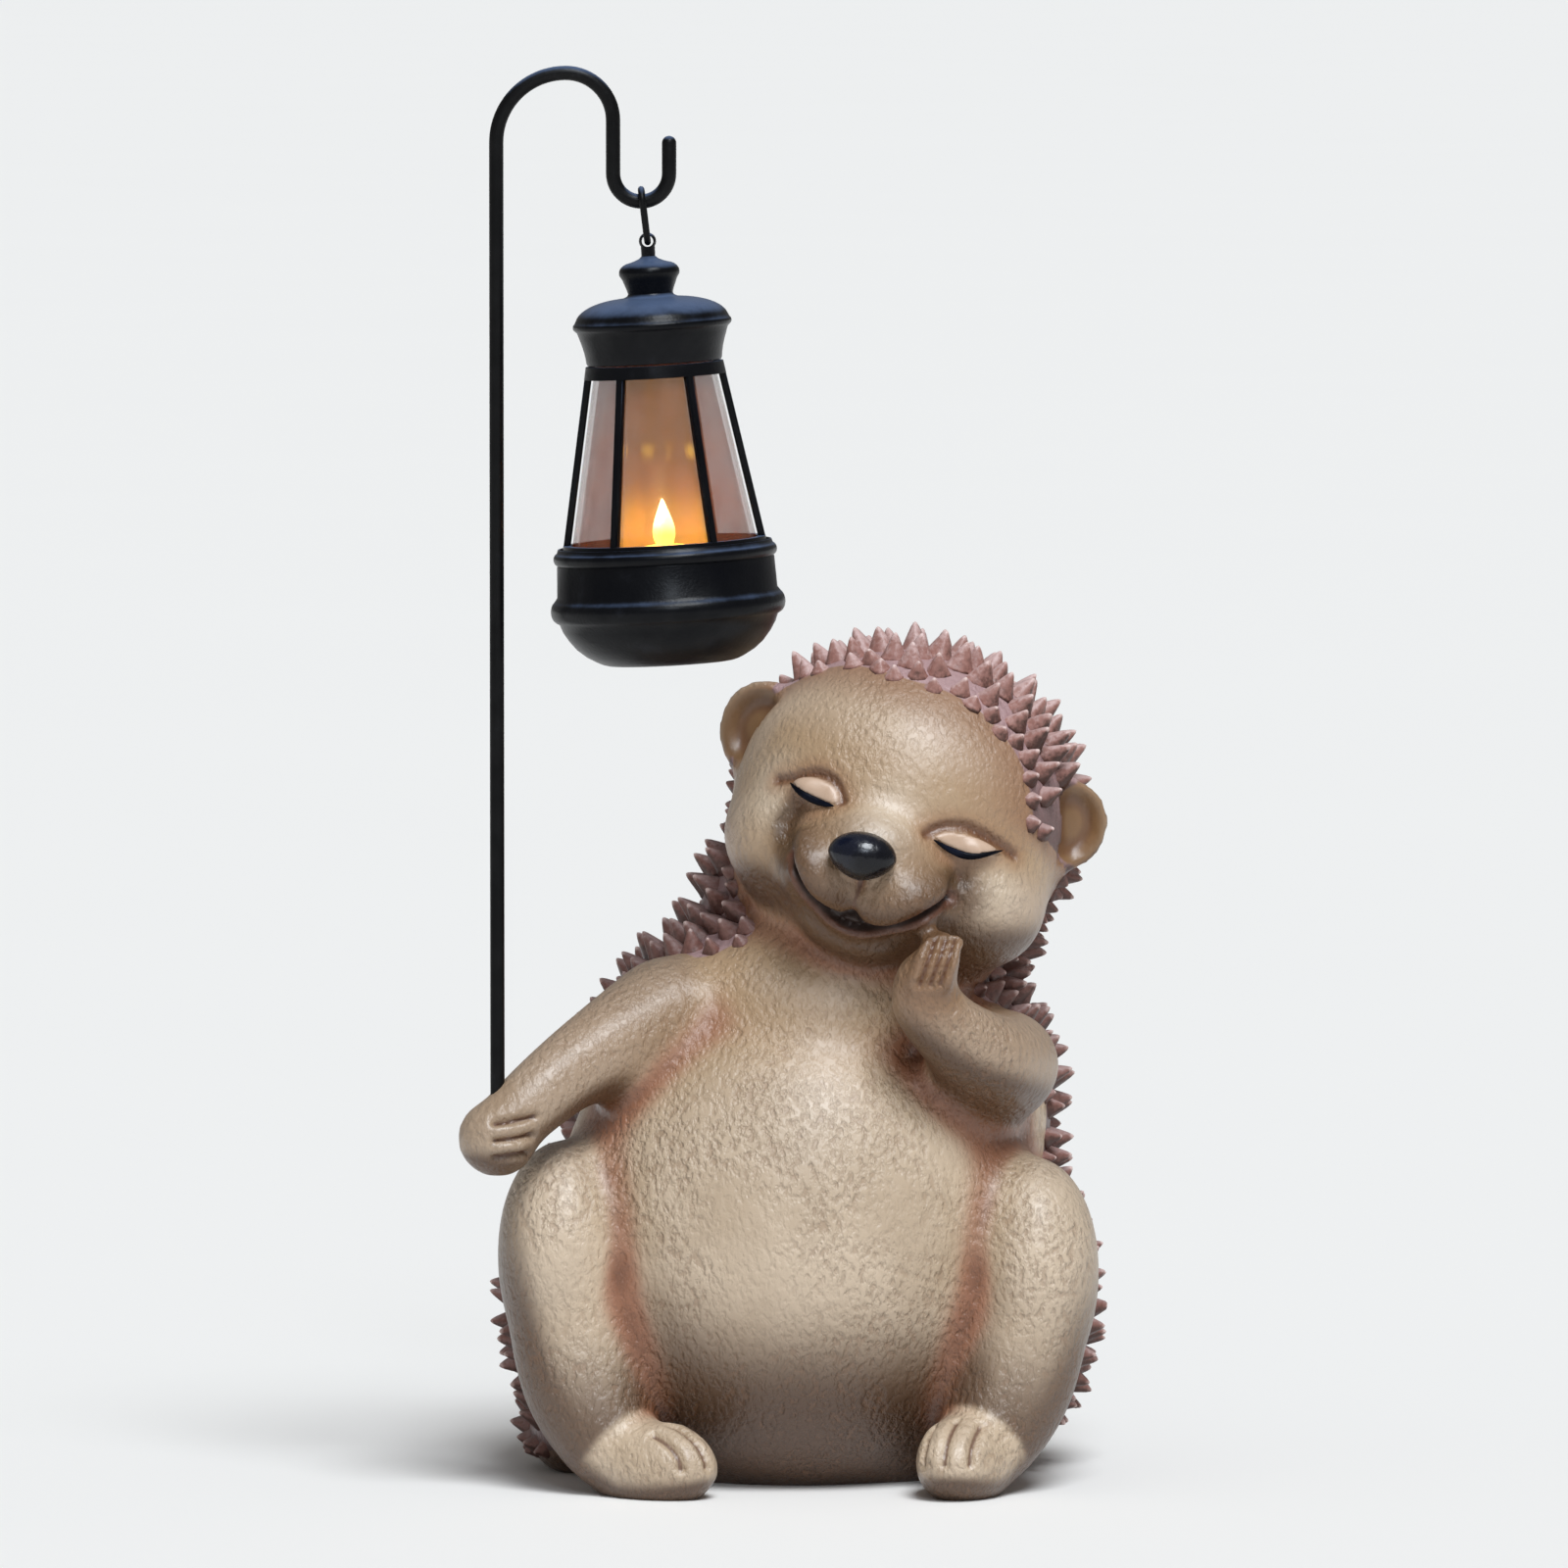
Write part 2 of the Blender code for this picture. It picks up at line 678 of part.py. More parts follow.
def lantern_roof(hanger):
    """A flared collar, a brim, a domed cap and a round finial with an eye."""
    brim = ROOF_FOOT + 0.0070
    neck = ROOF_FOOT + 0.0138
    disc = ROOF_FOOT + 0.0187
    outline = [(0, EYE_HEIGHT + EYE_RADIUS)]
    outline += bend((0, EYE_HEIGHT), (EYE_RADIUS, EYE_RADIUS), 45, -40, 3)
    outline += [(0.0021, LANTERN_HEIGHT + 0.0006), (0.0030, LANTERN_HEIGHT)]
    outline += bend((0.0030, disc), (0.0032, LANTERN_HEIGHT - disc), 50, 0, 1)
    outline += [(0.0058, disc - 0.0012), (0.0047, neck + 0.0006), (0.0048, neck)]
    outline += bend((0.0045, brim + 0.0015), (ROOF_RADIUS - 0.0050, neck - brim - 0.0018), 80, 4, 4)
    outline += [(ROOF_RADIUS, brim + 0.0015), (ROOF_RADIUS, brim), (ROOF_RADIUS - 0.0006, brim)]
    outline += bend((COLLAR_RADIUS, brim), (ROOF_RADIUS - COLLAR_RADIUS - 0.0006, brim - ROOF_FOOT), -35, -90, 2)
    outline += [(0, ROOF_FOOT)]
    roof = placed(turned("lantern_roof", outline, 16), BLACK_PLASTIC, hanger)
    bm = bmesh.new()
    across = Matrix.Translation((0, 0, EYE_HEIGHT)) @ Matrix.Rotation(math.pi / 2, 4, "X")
    bmesh.ops.create_cone(
        bm, cap_ends=True, segments=10, radius1=EYE_BORE, radius2=EYE_BORE, depth=4 * EYE_RADIUS, matrix=across
    )
    bore = cutter(mesh_from("eye_bore", bm))
    bore.parent = hanger
    boolean(roof, bore, "DIFFERENCE")
    return roof


def cage_radius(height):
    """The cage's outer radius: its bars lean in toward the roof."""
    share = (height - CAGE_FOOT) / (CAGE_TOP - CAGE_FOOT)
    return CAGE_FOOT_RADIUS + (CAGE_TOP_RADIUS - CAGE_FOOT_RADIUS) * share


def cage_ring(name, low, high):
    """A ring of the cage, as deep as its bars."""
    outline = [(cage_radius(high), high), (cage_radius(low), low)]
    outline += [(cage_radius(low) - BAR_DEPTH, low), (cage_radius(high) - BAR_DEPTH, high)]
    return turned(name, outline, ring=True)


def lantern_cage(hanger):
    """Two rings joined by leaning bars."""
    cage = placed(cage_ring("lantern_cage", CAGE_FOOT, CAGE_FOOT + CAGE_RING), BLACK_PLASTIC, hanger)
    boolean(cage, cutter(cage_ring("top_ring", CAGE_TOP - CAGE_RING, CAGE_TOP)), "UNION")
    low = CAGE_FOOT + CAGE_RING / 2
    high = CAGE_TOP - CAGE_RING / 2
    foot = Vector((cage_radius(low) - BAR_DEPTH / 2 - 0.00003, 0, low))
    head = Vector((cage_radius(high) - BAR_DEPTH / 2 - 0.00003, 0, high))
    lean = Vector((0, 0, 1)).rotation_difference(head - foot).to_matrix().to_4x4()
    size = Matrix.Diagonal((BAR_DEPTH - 0.0001, BAR_WIDTH, (head - foot).length, 1))
    bm = bmesh.new()
    for bar in range(CAGE_BARS):
        turn = Matrix.Rotation(2 * math.pi * bar / CAGE_BARS, 4, "Z")
        bmesh.ops.create_cube(bm, size=1.0, matrix=turn @ Matrix.Translation((foot + head) / 2) @ lean @ size)
    boolean(cage, cutter(mesh_from("cage_bars", bm)), "UNION")
    for other in ("top_ring", "cage_bars"):
        bpy.data.objects[other].parent = hanger
    return cage


def lantern_pane(hanger):
    """A clear tapered shell just inside the cage."""
    gap = BAR_DEPTH + CLEARANCE
    outer = [(cage_radius(CAGE_TOP) - gap, CAGE_TOP), (cage_radius(CAGE_FOOT) - gap, CAGE_FOOT)]
    inner = [(radius - PANE_WALL, height) for radius, height in reversed(outer)]
    return placed(turned("lantern_pane", [*outer, *inner], ring=True), SMOKED_PANE, hanger)


def flame_lamp(hanger):
    """A flame-shaped lens on a round holder, on the lantern's floor."""
    foot = FLOOR + CLEARANCE
    outline = [(0, foot + FLAME_HEIGHT)]
    outline += [(FLAME_RADIUS * 0.35, foot + FLAME_HEIGHT * 0.86), (FLAME_RADIUS * 0.8, foot + FLAME_HEIGHT * 0.62)]
    outline += bend((0, foot + FLAME_HEIGHT * 0.4), (FLAME_RADIUS, FLAME_HEIGHT * 0.2), 20, -60, 3)
    outline += [(FLAME_RADIUS * 2, foot + 0.0015), (FLAME_RADIUS * 2, foot), (0, foot)]
    return placed(turned("flame_lamp", outline, 12), FLAME, hanger)


hedgehog()
crook_rod()
hanger_link()
LANTERN = lantern_hanger()
lantern_base(LANTERN)
lantern_cage(LANTERN)
lantern_pane(LANTERN)
flame_lamp(LANTERN)
lantern_roof(LANTERN)
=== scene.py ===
"""The looks of a seated hedgehog garden statue of painted resin, with its steel crook and hanging lantern.

Metres, +Z up, and the figure faces -Y. Most sizes are written in millimetres and brought to metres with MM.
"""

import math

import bmesh
import bpy
import numpy as np
from mathutils import Matrix, Vector
from mathutils.bvhtree import BVHTree

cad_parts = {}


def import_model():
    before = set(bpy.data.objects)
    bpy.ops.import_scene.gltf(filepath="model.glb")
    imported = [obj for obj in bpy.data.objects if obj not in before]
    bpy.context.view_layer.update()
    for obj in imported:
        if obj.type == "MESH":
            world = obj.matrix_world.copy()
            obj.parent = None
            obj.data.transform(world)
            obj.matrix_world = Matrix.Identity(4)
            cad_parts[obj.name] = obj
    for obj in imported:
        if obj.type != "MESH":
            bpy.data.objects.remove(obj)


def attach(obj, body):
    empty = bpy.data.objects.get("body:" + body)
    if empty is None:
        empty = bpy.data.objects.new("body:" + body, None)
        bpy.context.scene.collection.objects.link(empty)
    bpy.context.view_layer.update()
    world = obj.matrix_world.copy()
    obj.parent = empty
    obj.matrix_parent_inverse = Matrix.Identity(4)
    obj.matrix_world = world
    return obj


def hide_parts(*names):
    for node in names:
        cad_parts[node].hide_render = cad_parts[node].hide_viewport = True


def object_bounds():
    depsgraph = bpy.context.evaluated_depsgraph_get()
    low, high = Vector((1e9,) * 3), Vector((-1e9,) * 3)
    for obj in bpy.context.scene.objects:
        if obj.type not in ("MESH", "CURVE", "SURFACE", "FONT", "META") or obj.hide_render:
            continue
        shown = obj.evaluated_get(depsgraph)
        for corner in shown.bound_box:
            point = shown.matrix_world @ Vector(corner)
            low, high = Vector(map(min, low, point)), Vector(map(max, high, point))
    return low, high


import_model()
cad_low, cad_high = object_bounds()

# The figure's skin
# One hollow casting in resin, from the ears to the feet. It is modelled in soft clay first: balls and rolls
# blended to one skin, with the lips, lids, toes and fingers pressed in. It is then cast, and airbrushed over
# a cream ground.

MM = 0.001
HEAD = (
    Matrix.Translation(Vector((21.7, -8.0, 139.4)) * MM)
    @ Matrix.Rotation(math.radians(17.0), 4, "Y")
    @ Matrix.Rotation(math.radians(-8.0), 4, "Z")
)
FIST = Vector((-62.6, -42.0, 74.6))
PAW = (28.0, -50.0, 115.0)


def ball(bm, centre, radii, axes=None, detail=4):
    """A ball of clay: its centre and radii in mm, along the world's axes or a part's own."""
    place = (axes or Matrix.Identity(4)) @ Matrix.Translation(Vector(centre) * MM)
    bmesh.ops.create_icosphere(
        bm, subdivisions=detail, radius=1.0, matrix=place @ Matrix.Diagonal((*(Vector(radii) * MM), 1.0))
    )


def along(points, share):
    """A point on the smooth curve through points, at a share of its length from 0 to 1."""
    spans = len(points) - 1
    at = min(int(share * spans), spans - 1)
    t = share * spans - at
    before, start, end, after = (Vector(points[max(0, min(spans, at + step))]) for step in (-1, 0, 1, 2))
    return 0.5 * (
        2 * start
        + (end - before) * t
        + (2 * before - 5 * start + 4 * end - after) * t * t
        + (3 * start - before - 3 * end + after) * t**3
    )


def roll(bm, stations, steps=16):
    """A rolled limb: balls in a close row along stations, each (x, y, z, radius)."""
    for step in range(steps + 1):
        station = along(stations, step / steps)
        ball(bm, station.xyz, [station.w] * 3, detail=3)


def trunk(bm):
    """Belly, seat, back, shoulders and nape, and the hem of the coat round the foot."""
    ball(bm, (0.0, -6.0, 51.0), (52.0, 48.0, 57.0))
    ball(bm, (0.5, 8.0, 36.0), (60.8, 48.0, 50.0))
    ball(bm, (4.0, 9.0, 76.0), (50.0, 42.0, 46.0))
    ball(bm, (6.0, -2.0, 96.0), (38.0, 34.0, 26.0))
    ball(bm, (13.5, 6.0, 116.0), (35.0, 27.0, 26.0))
    for step in range(41):
        angle = math.radians(-10 + 205 * step / 40)
        ball(bm, (-4 + 45 * math.cos(angle), 8 + 41 * math.sin(angle), 7.5), (9, 9, 9), detail=3)


def skull(bm):
    ball(bm, (0, 0, 0.9), (36.5, 33.0, 34.5), HEAD)
    ball(bm, (1, -4, -12), (31.5, 27.0, 23.0), HEAD)
    ball(bm, (-17.6, -11.5, -10.2), (17.0, 18.0, 15.0), HEAD)
    ball(bm, (19.5, -11.5, -11.5), (17.5, 18.0, 16.0), HEAD)


def limbs(bm):
    """Two folded legs, the right arm down to the crook, and the left arm up to the cheek."""
    for side, rise in ((-1, 1.5), (1, -2.0)):
        ball(bm, (side * 49.4, -27, 47 + rise), (14, 20, 25))
        roll(bm, [(side * 48.5, -30, 44, 13.6), (side * 45.5, -34, 24, 13.4), (side * 40, -40, 10, 10)])
    roll(bm, [(-27, -18, 98, 13.5), (-45, -32, 89.5, 9.5), (-56, -40, 81.5, 8.3), (-60.5, -42, 77, 8.0)])
    left_arm = [(43, -22, 88, 12.5), (40, -36, 90.5, 10.2), (32.5, -43, 96, 8.8)]
    left_arm += [(25.2, -47, 104, 7.5), (26.4, -47.5, 109, 6.4)]
    roll(bm, left_arm)


def ear_axes(side):
    """An ear's own axes: x out along its width, y to its back."""
    place = Vector((side * 33.8, -1.0, 8.6)) * MM
    return HEAD @ Matrix.Translation(place) @ Matrix.Rotation(side * math.radians(16.0), 4, "Z")


FOOT_RADII = (10.3, 16.5, 9.6)
FEET = [
    Matrix.Translation(Vector(centre) * MM) @ Matrix.Rotation(math.radians(turn), 4, "Z")
    for centre, turn in (((-31.0, -44.0, 6.2), 50.0), ((35.0, -43.5, 7.2), -16.0))
]


def small_forms(bm):
    """Ears, snout, upper lips, chin, both hands and both feet."""
    for side in (-1, 1):
        ball(bm, (0, 0, 0), (10.0 - 0.3 * side, 3.5, 10.9 - 0.4 * side), ear_axes(side))
        ball(bm, (side * 8.3, -25.5, -13.5), (11.2, 16.0, 9.8), HEAD)
    ball(bm, (0, -20, -7), (16.5, 21.0, 12.5), HEAD)
    ball(bm, (0, -23.5, -22.0), (13.5, 10.5, 8.0), HEAD)
    ball(bm, FIST, (8.5, 9.0, 8.3))
    roll(bm, [(26.3, -47.8, 108, 6.6), (28.2, -48.3, 112, 5.6), (30.2, -47.6, 114.6, 4.0)], steps=8)
    for axes in FEET:
        ball(bm, (0, 0, 0), FOOT_RADII, axes)


LIDS = (((-15.5, 1.5), (5.2, 2.6)), ((18.1, -0.2), (6.3, 2.2)))
TO_BACK = HEAD.to_3x3() @ Vector((0, 1, 0))


def on_face(line):
    """A line of (x, z) in the face's own mm, held in front of the head and placed in the world."""
    return [HEAD @ (Vector((x, -70.0, z)) * MM) for x, z in line]


def lids_and_fingers(bm):
    """Each lid, given by its middle and radii on the face, swells a little out. Fingers lie on the palm."""
    for middle, (width, height) in LIDS:
        seat = HEAD.inverted() @ limbed_tree.ray_cast(on_face([middle])[0], TO_BACK)[0] / MM
        ball(bm, seat + Vector((0, 2.4, 0)), (width, 3.6, height), HEAD)
    for root, tip in ((24.0, 27.0), (26.2, 29.1), (28.4, 31.2), (30.4, 33.0)):
        knuckle = ((root + tip) / 2, -53.6, 112.4, 1.75)
        roll(bm, [(root, -53.2, 107.6, 1.7), knuckle, (tip, -51.2, 116.6, 1.45)], steps=10)


def meshed(name, bm):
    """The mesh of what bm holds, which is freed."""
    mesh = bpy.data.meshes.new(name)
    bm.to_mesh(mesh)
    bm.free()
    return mesh


def smoothed(mesh, degrees):
    """Shades the mesh smooth, apart from the edges that turn by more than degrees."""
    mesh.shade_smooth()
    mesh.set_sharp_from_angle(angle=math.radians(degrees))
    return mesh


def shown(name, mesh):
    made = bpy.data.objects.new(name, mesh)
    bpy.context.scene.collection.objects.link(made)
    return made


def blended(makers, voxel, rounds, onto=None):
    """One smooth skin over the clay that the makers add and an earlier skin, from cubes of voxel mm."""
    bm = bmesh.new()
    if onto:
        bm.from_mesh(onto)
    for maker in makers:
        maker(bm)
    clay = shown("clay", meshed("clay", bm))
    remesh = clay.modifiers.new("blend", "REMESH")
    remesh.mode = "VOXEL"
    remesh.voxel_size = voxel * MM
    ease = clay.modifiers.new("ease", "SMOOTH")
    ease.factor = 0.5
    ease.iterations = rounds
    bpy.context.view_layer.update()
    skin = bpy.data.meshes.new_from_object(clay.evaluated_get(bpy.context.evaluated_depsgraph_get()))
    bpy.data.objects.remove(clay)
    return skin


def read(items, name, width, kind):
    """A property of each item of a mesh, as rows of width numbers."""
    flat = np.empty(len(items) * width, kind)
    items.foreach_get(name, flat)
    return flat.reshape(-1, width)


def places(mesh):
    """The mesh's vertices, in metres."""
    return read(mesh.vertices, "co", 3, np.float32).astype(float)


def put(mesh, points):
    mesh.vertices.foreach_set("co", points.astype(np.float32).ravel())
    mesh.update()


def normals(mesh):
    return read(mesh.vertex_normals, "vector", 3, np.float32).astype(float)


def links(mesh):
    """The two ends of each edge."""
    return read(mesh.edges, "vertices", 2, np.int32)


def evened(values, pairs, rounds, share=0.5):
    """Columns of values at the vertices, drawn towards the mean of their neighbours' for some rounds."""
    near, far = np.concatenate([pairs, pairs[:, ::-1]]).T
    count = np.bincount(near, minlength=len(values))[:, None]
    for _ in range(rounds):
        mean = np.stack([np.bincount(near, column[far], len(values)) for column in values.T], 1) / count
        values = values + (mean - values) * share
    return values


def eased(value):
    """0 below 0, 1 above 1 and a smooth step between."""
    value = np.clip(value, 0.0, 1.0)
    return value * value * (3 - 2 * value)


def seen_from(axes, points):
    """Points in a part's own axes, in mm."""
    back = np.array(axes.inverted())
    return (points @ back[:3, :3].T + back[:3, 3]) / MM


def tree_of(mesh):
    bm = bmesh.new()
    bm.from_mesh(mesh)
    tree = BVHTree.FromBMesh(bm)
    bm.free()
    return tree


core = blended((trunk, skull), voxel=2.2, rounds=16)
body = blended((trunk, skull, limbs), voxel=2.2, rounds=16)
limbed = blended((small_forms,), voxel=1.6, rounds=6, onto=body)
limbed_tree = tree_of(limbed)
skin = blended((lids_and_fingers,), voxel=1.1, rounds=3, onto=limbed)


def detailed(mesh):
    """Finer clay where the small forms are cut: the face, the hands and the feet."""
    points = places(mesh)
    face = seen_from(HEAD, points)
    fine = (np.abs(face[:, 0]) < 29) & (face[:, 1] < -12) & (face[:, 2] > -30) & (face[:, 2] < 13)
    fine |= np.linalg.norm(points / MM - FIST, axis=1) < 13
    fine |= np.linalg.norm((points / MM - PAW) / (12, 12, 13), axis=1) < 1
    for axes in FEET:
        foot = seen_from(axes, points)
        fine |= (np.abs(foot[:, 0]) < 13) & (foot[:, 1] < 2) & (foot[:, 1] > -19) & (foot[:, 2] < 12)
    bm = bmesh.new()
    bm.from_mesh(mesh)
    bm.verts.ensure_lookup_table()
    edges = [edge for edge in bm.edges if fine[edge.verts[0].index] and fine[edge.verts[1].index]]
    bmesh.ops.subdivide_edges(bm, edges=edges, cuts=1, use_grid_fill=True)
    bm.to_mesh(mesh)
    bm.free()
    put(mesh, evened(places(mesh), links(mesh), 3))


detailed(skin)


def cupped_ears(points):
    """Presses the front of each ear into a wide cup with a thin rim."""
    for side in (-1, 1):
        axes = ear_axes(side)
        local = seen_from(axes, points)
        across = np.hypot(local[:, 0] / 9.0, (local[:, 2] - 0.2) / 9.8)
        pressed = (across < 1) & (local[:, 1] > -7) & (local[:, 1] < 0.8)
        depth = 4.0 * eased((1 - across) / 0.55) * eased(0.8 - local[:, 1])
        points += np.outer(np.where(pressed, depth, 0.0) * MM, axes.to_3x3() @ Vector((0, 1, 0)))


def laid(tree, path, toward, steps):
    """Points on the skin that a smooth path meets when it is moved along a direction."""
    hits = [tree.ray_cast(along(path, step / steps), toward)[0] for step in range(steps + 1)]
    return np.array([hit for hit in hits if hit])


def off_path(points, path):
    """How far each point is from a path of points, in mm."""
    best = np.full(len(points), np.inf)
    for start, end in zip(path, path[1:]):
        run = end - start
        share = np.clip(((points - start) @ run) / (run @ run), 0, 1)
        best = np.minimum(best, np.linalg.norm(points - start - share[:, None] * run, axis=1))
    return best / MM


MOUTH = (
    (-16.6, -11.8), (-14.0, -14.9), (-10.7, -18.5), (-6.9, -21.1), (-3.3, -22.5), (0.8, -23.1),
    (4.8, -22.3), (9.5, -20.3), (12.9, -17.7), (16.1, -14.4), (18.6, -11.2),
)
UPPER_LIP = (
    (-16.6, -11.4), (-14.0, -14.4), (-10.2, -18.3), (-6.0, -20.4), (-2.6, -21.2), (-0.4, -20.2), (0.8, -20.2),
    (3.2, -21.6), (8.5, -20.3), (12.8, -17.5), (16.0, -14.2), (18.6, -11.0),
)
CHEEK_CREASES = (
    ((-18.4, -2.0), (-19.4, -6.4), (-18.4, -10.0), (-16.2, -12.6)),
    ((18.6, -11.2), (17.8, -9.0), (18.3, -6.8)),
)
PHILTRUM = ((0.0, -11.5), (0.2, -15.0), (0.4, -19.0))
# Places on the bridge of the nose and the cheeks that take a painted highlight.
HIGH_PLACES = (((0.5, -5.0), (1.0, 3.0)), ((24.0, -10.0), (26.0, -7.0)), ((-24.5, -3.0), (-25.0, 0.0)))
EYE_LINES = (
    ((-21.3, 1.5), (-18.6, 0.4), (-15.4, -0.2), (-12.6, -0.3), (-10.5, 0.0)),
    ((11.5, -0.5), (14.6, -1.5), (18.2, -1.9), (21.4, -1.0), (25.2, 1.2)),
)
LID_CREASES = (
    ((-24.4, 1.0), (-21.8, 2.2), (-19.0, 4.1), (-15.6, 5.3), (-11.8, 4.3), (-9.3, 1.4)),
    ((9.8, 0.2), (12.2, 2.4), (16.2, 3.7), (20.6, 3.2), (25.0, 1.8), (27.4, 0.8)),
)

points = places(skin)
cupped_ears(points)
put(skin, points)
skin_tree = tree_of(skin)
mouth_path, lip_path = (laid(skin_tree, on_face(line), TO_BACK, 33) for line in (MOUTH, UPPER_LIP))
philtrum_path = laid(skin_tree, on_face(PHILTRUM), TO_BACK, 8)
eye_paths, crease_paths, cheek_paths, high_paths = (
    [laid(skin_tree, on_face(line), TO_BACK, 16) for line in lines]
    for lines in (EYE_LINES, LID_CREASES, CHEEK_CREASES, HIGH_PLACES)
)

OUTSIDE = 30
FOOT_REACH = 17 * MM


def toe_paths():
    """Between the toes, found by rays that start on an arc OUTSIDE mm from each foot's middle."""
    paths = []
    for axes in FEET:
        for gap in (-5.0, -0.4, 4.2):
            path = []
            for angle in range(22, 91, 8):
                lean = math.radians(angle)
                out, up = math.sin(lean) * OUTSIDE, math.cos(lean) * OUTSIDE
                start = axes @ (Vector((gap * 1.25, -out, up)) * MM)
                toward = (axes @ (Vector((gap, -4, 0)) * MM) - start).normalized()
                hit = skin_tree.ray_cast(start, toward)[0]
                if (hit - axes.translation).length < FOOT_REACH:
                    path.append(hit)
            paths.append(np.array(path))
    return paths


def fist_paths():
    """Between the fingers that close on the crook."""
    paths = []
    for height in (-3.6, 0.2, 4.0):
        path = []
        for angle in range(-4, 57, 10):
            turn = math.radians(angle)
            side, out = math.sin(turn) * OUTSIDE, math.cos(turn) * OUTSIDE
            start = FIST + Vector((side, -out, height + angle * 0.05))
            toward = (FIST + Vector((0, 0, height)) - start).normalized()
            path.append(skin_tree.ray_cast(start * MM, toward)[0])
        paths.append(np.array(path))
    return paths


def paw_paths():
    """Between the fingers laid on the cheek."""
    paths = []
    for root, tip in ((25.1, 28.0), (27.3, 30.2), (29.4, 32.2)):
        line = [Vector((root + (tip - root) * rise / 9, -70, 107.4 + rise)) * MM for rise in (0, 3, 6, 10)]
        paths.append(laid(skin_tree, line, Vector((0, 1, 0)), 9))
    return paths


toes, fist_fingers, paw_fingers = toe_paths(), fist_paths(), paw_paths()
GROOVE_REACH = 45 * MM


def pressed(points, outward, paths, depth, width):
    """Presses a round-edged groove of that depth and width, in mm, along each path."""
    for path in paths:
        near = np.linalg.norm(points - path.mean(0), axis=1) < GROOVE_REACH
        away = off_path(points[near], path)
        points[near] -= outward[near] * (depth * np.exp(-((away / width) ** 2)) * MM)[:, None]


def level_at(path, across):
    """How high a path on the face runs at places across it, both in the face's own mm."""
    seen = seen_from(HEAD, path)
    order = np.argsort(seen[:, 0])
    return np.interp(across, seen[order, 0], seen[order, 2])


def lid_share(face):
    """1 on the closed lids, which end at the lash lines, and 0 on the rest of the face."""
    share = np.zeros(len(face))
    for (middle, radii), path in zip(LIDS, eye_paths):
        off_middle = np.hypot((face[:, 0] - middle[0]) / radii[0], (face[:, 2] - middle[1]) / radii[1])
        share += eased((1.16 - off_middle) / 0.24) * eased((face[:, 2] - level_at(path, face[:, 0])) / 0.7)
    return share * (face[:, 1] < -14)


def modelled_face(points, outward):
    """Two full upper lips roll over an open smile with a thin lower lip, and creases set off the cheeks."""
    face = seen_from(HEAD, points)
    points += outward * (0.5 * lid_share(face) * MM)[:, None]
    near = (face[:, 1] < -16) & (np.abs(face[:, 0]) < 24) & (face[:, 2] > -34) & (face[:, 2] < 2)
    across, height = face[near, 0], face[near, 2]
    above_lip = height - level_at(lip_path, across)
    above_mouth = height - level_at(mouth_path, across)
    off_lip, off_mouth = (off_path(points[near], path) for path in (lip_path, mouth_path))
    within = eased((18.5 - np.abs(across - 1)) / 4)
    opening = eased(0.5 - above_lip / 0.7) * eased(0.5 + above_mouth / 0.7) * within
    upper = 1.5 * np.exp(-(((off_lip - 3.2) / 3.0) ** 2)) * eased(above_lip / 0.8 + 0.5)
    lower = 0.7 * np.exp(-(((off_mouth - 1.3) / 1.1) ** 2)) * eased(0.5 - above_mouth / 0.8)
    chin = -1.0 * np.exp(-(((off_mouth - 4.4) / 2.2) ** 2)) * eased(0.5 - above_mouth / 0.8)
    line = -1.7 * np.exp(-((np.minimum(off_mouth, off_lip) / 0.85) ** 2))
    points[near] += outward[near] * (((upper + lower + chin) * within + line - 0.8 * opening) * MM)[:, None]
    pressed(points, outward, [philtrum_path], depth=1.1, width=0.9)
    pressed(points, outward, cheek_paths, depth=1.2, width=2.4)
    pressed(points, outward, crease_paths, depth=1.0, width=1.1)


def record(mesh, name, values):
    """Keeps one number for each vertex, which the finish reads by name."""
    layer = mesh.attributes.new(name, "FLOAT", "POINT")
    layer.data.foreach_set("value", values.astype(np.float32))


def record_brush_lines(mesh, points):
    """Where lids, lips, cheeks and finger and toe gaps are painted, with painted shade and highlights on the
    face.
    """
    face = seen_from(HEAD, points)
    record(mesh, "lid", lid_share(face))
    open_mouth = eased(0.5 - (face[:, 2] - level_at(lip_path, face[:, 0])) / 0.8)
    open_mouth *= eased(0.5 + (face[:, 2] - level_at(mouth_path, face[:, 0])) / 0.8)
    near_mouth = (face[:, 1] < -22) * (np.abs(face[:, 0] - 1) < 17)
    for name, paths, breadth in (
        ("brow", crease_paths, 1.5),
        ("socket", [*crease_paths, *eye_paths], 4.0),
        ("mouth", [mouth_path, lip_path], 0.85),
        ("lips", [mouth_path], 2.4),
        ("muzzle", [mouth_path], 8.5),
        ("high", high_paths, 6.0),
        ("cheek", cheek_paths, 3.4),
        ("gap", [*toes, *fist_fingers, *paw_fingers, philtrum_path], 0.55),
        ("paw", paw_fingers, 9.0),
    ):
        away = np.min([off_path(points, path) for path in paths], axis=0)
        share = np.exp(-((away / breadth) ** 2))
        record(mesh, name, np.maximum(share, open_mouth * near_mouth) if name == "mouth" else share)


record_brush_lines(skin, points)
outward = normals(skin)
modelled_face(points, outward)
pressed(points, outward, toes, depth=-0.7, width=2.8)
pressed(points, outward, toes, depth=2.6, width=0.95)
pressed(points, outward, fist_fingers, depth=1.5, width=0.8)
pressed(points, outward, paw_fingers, depth=1.3, width=0.8)
put(skin, points)


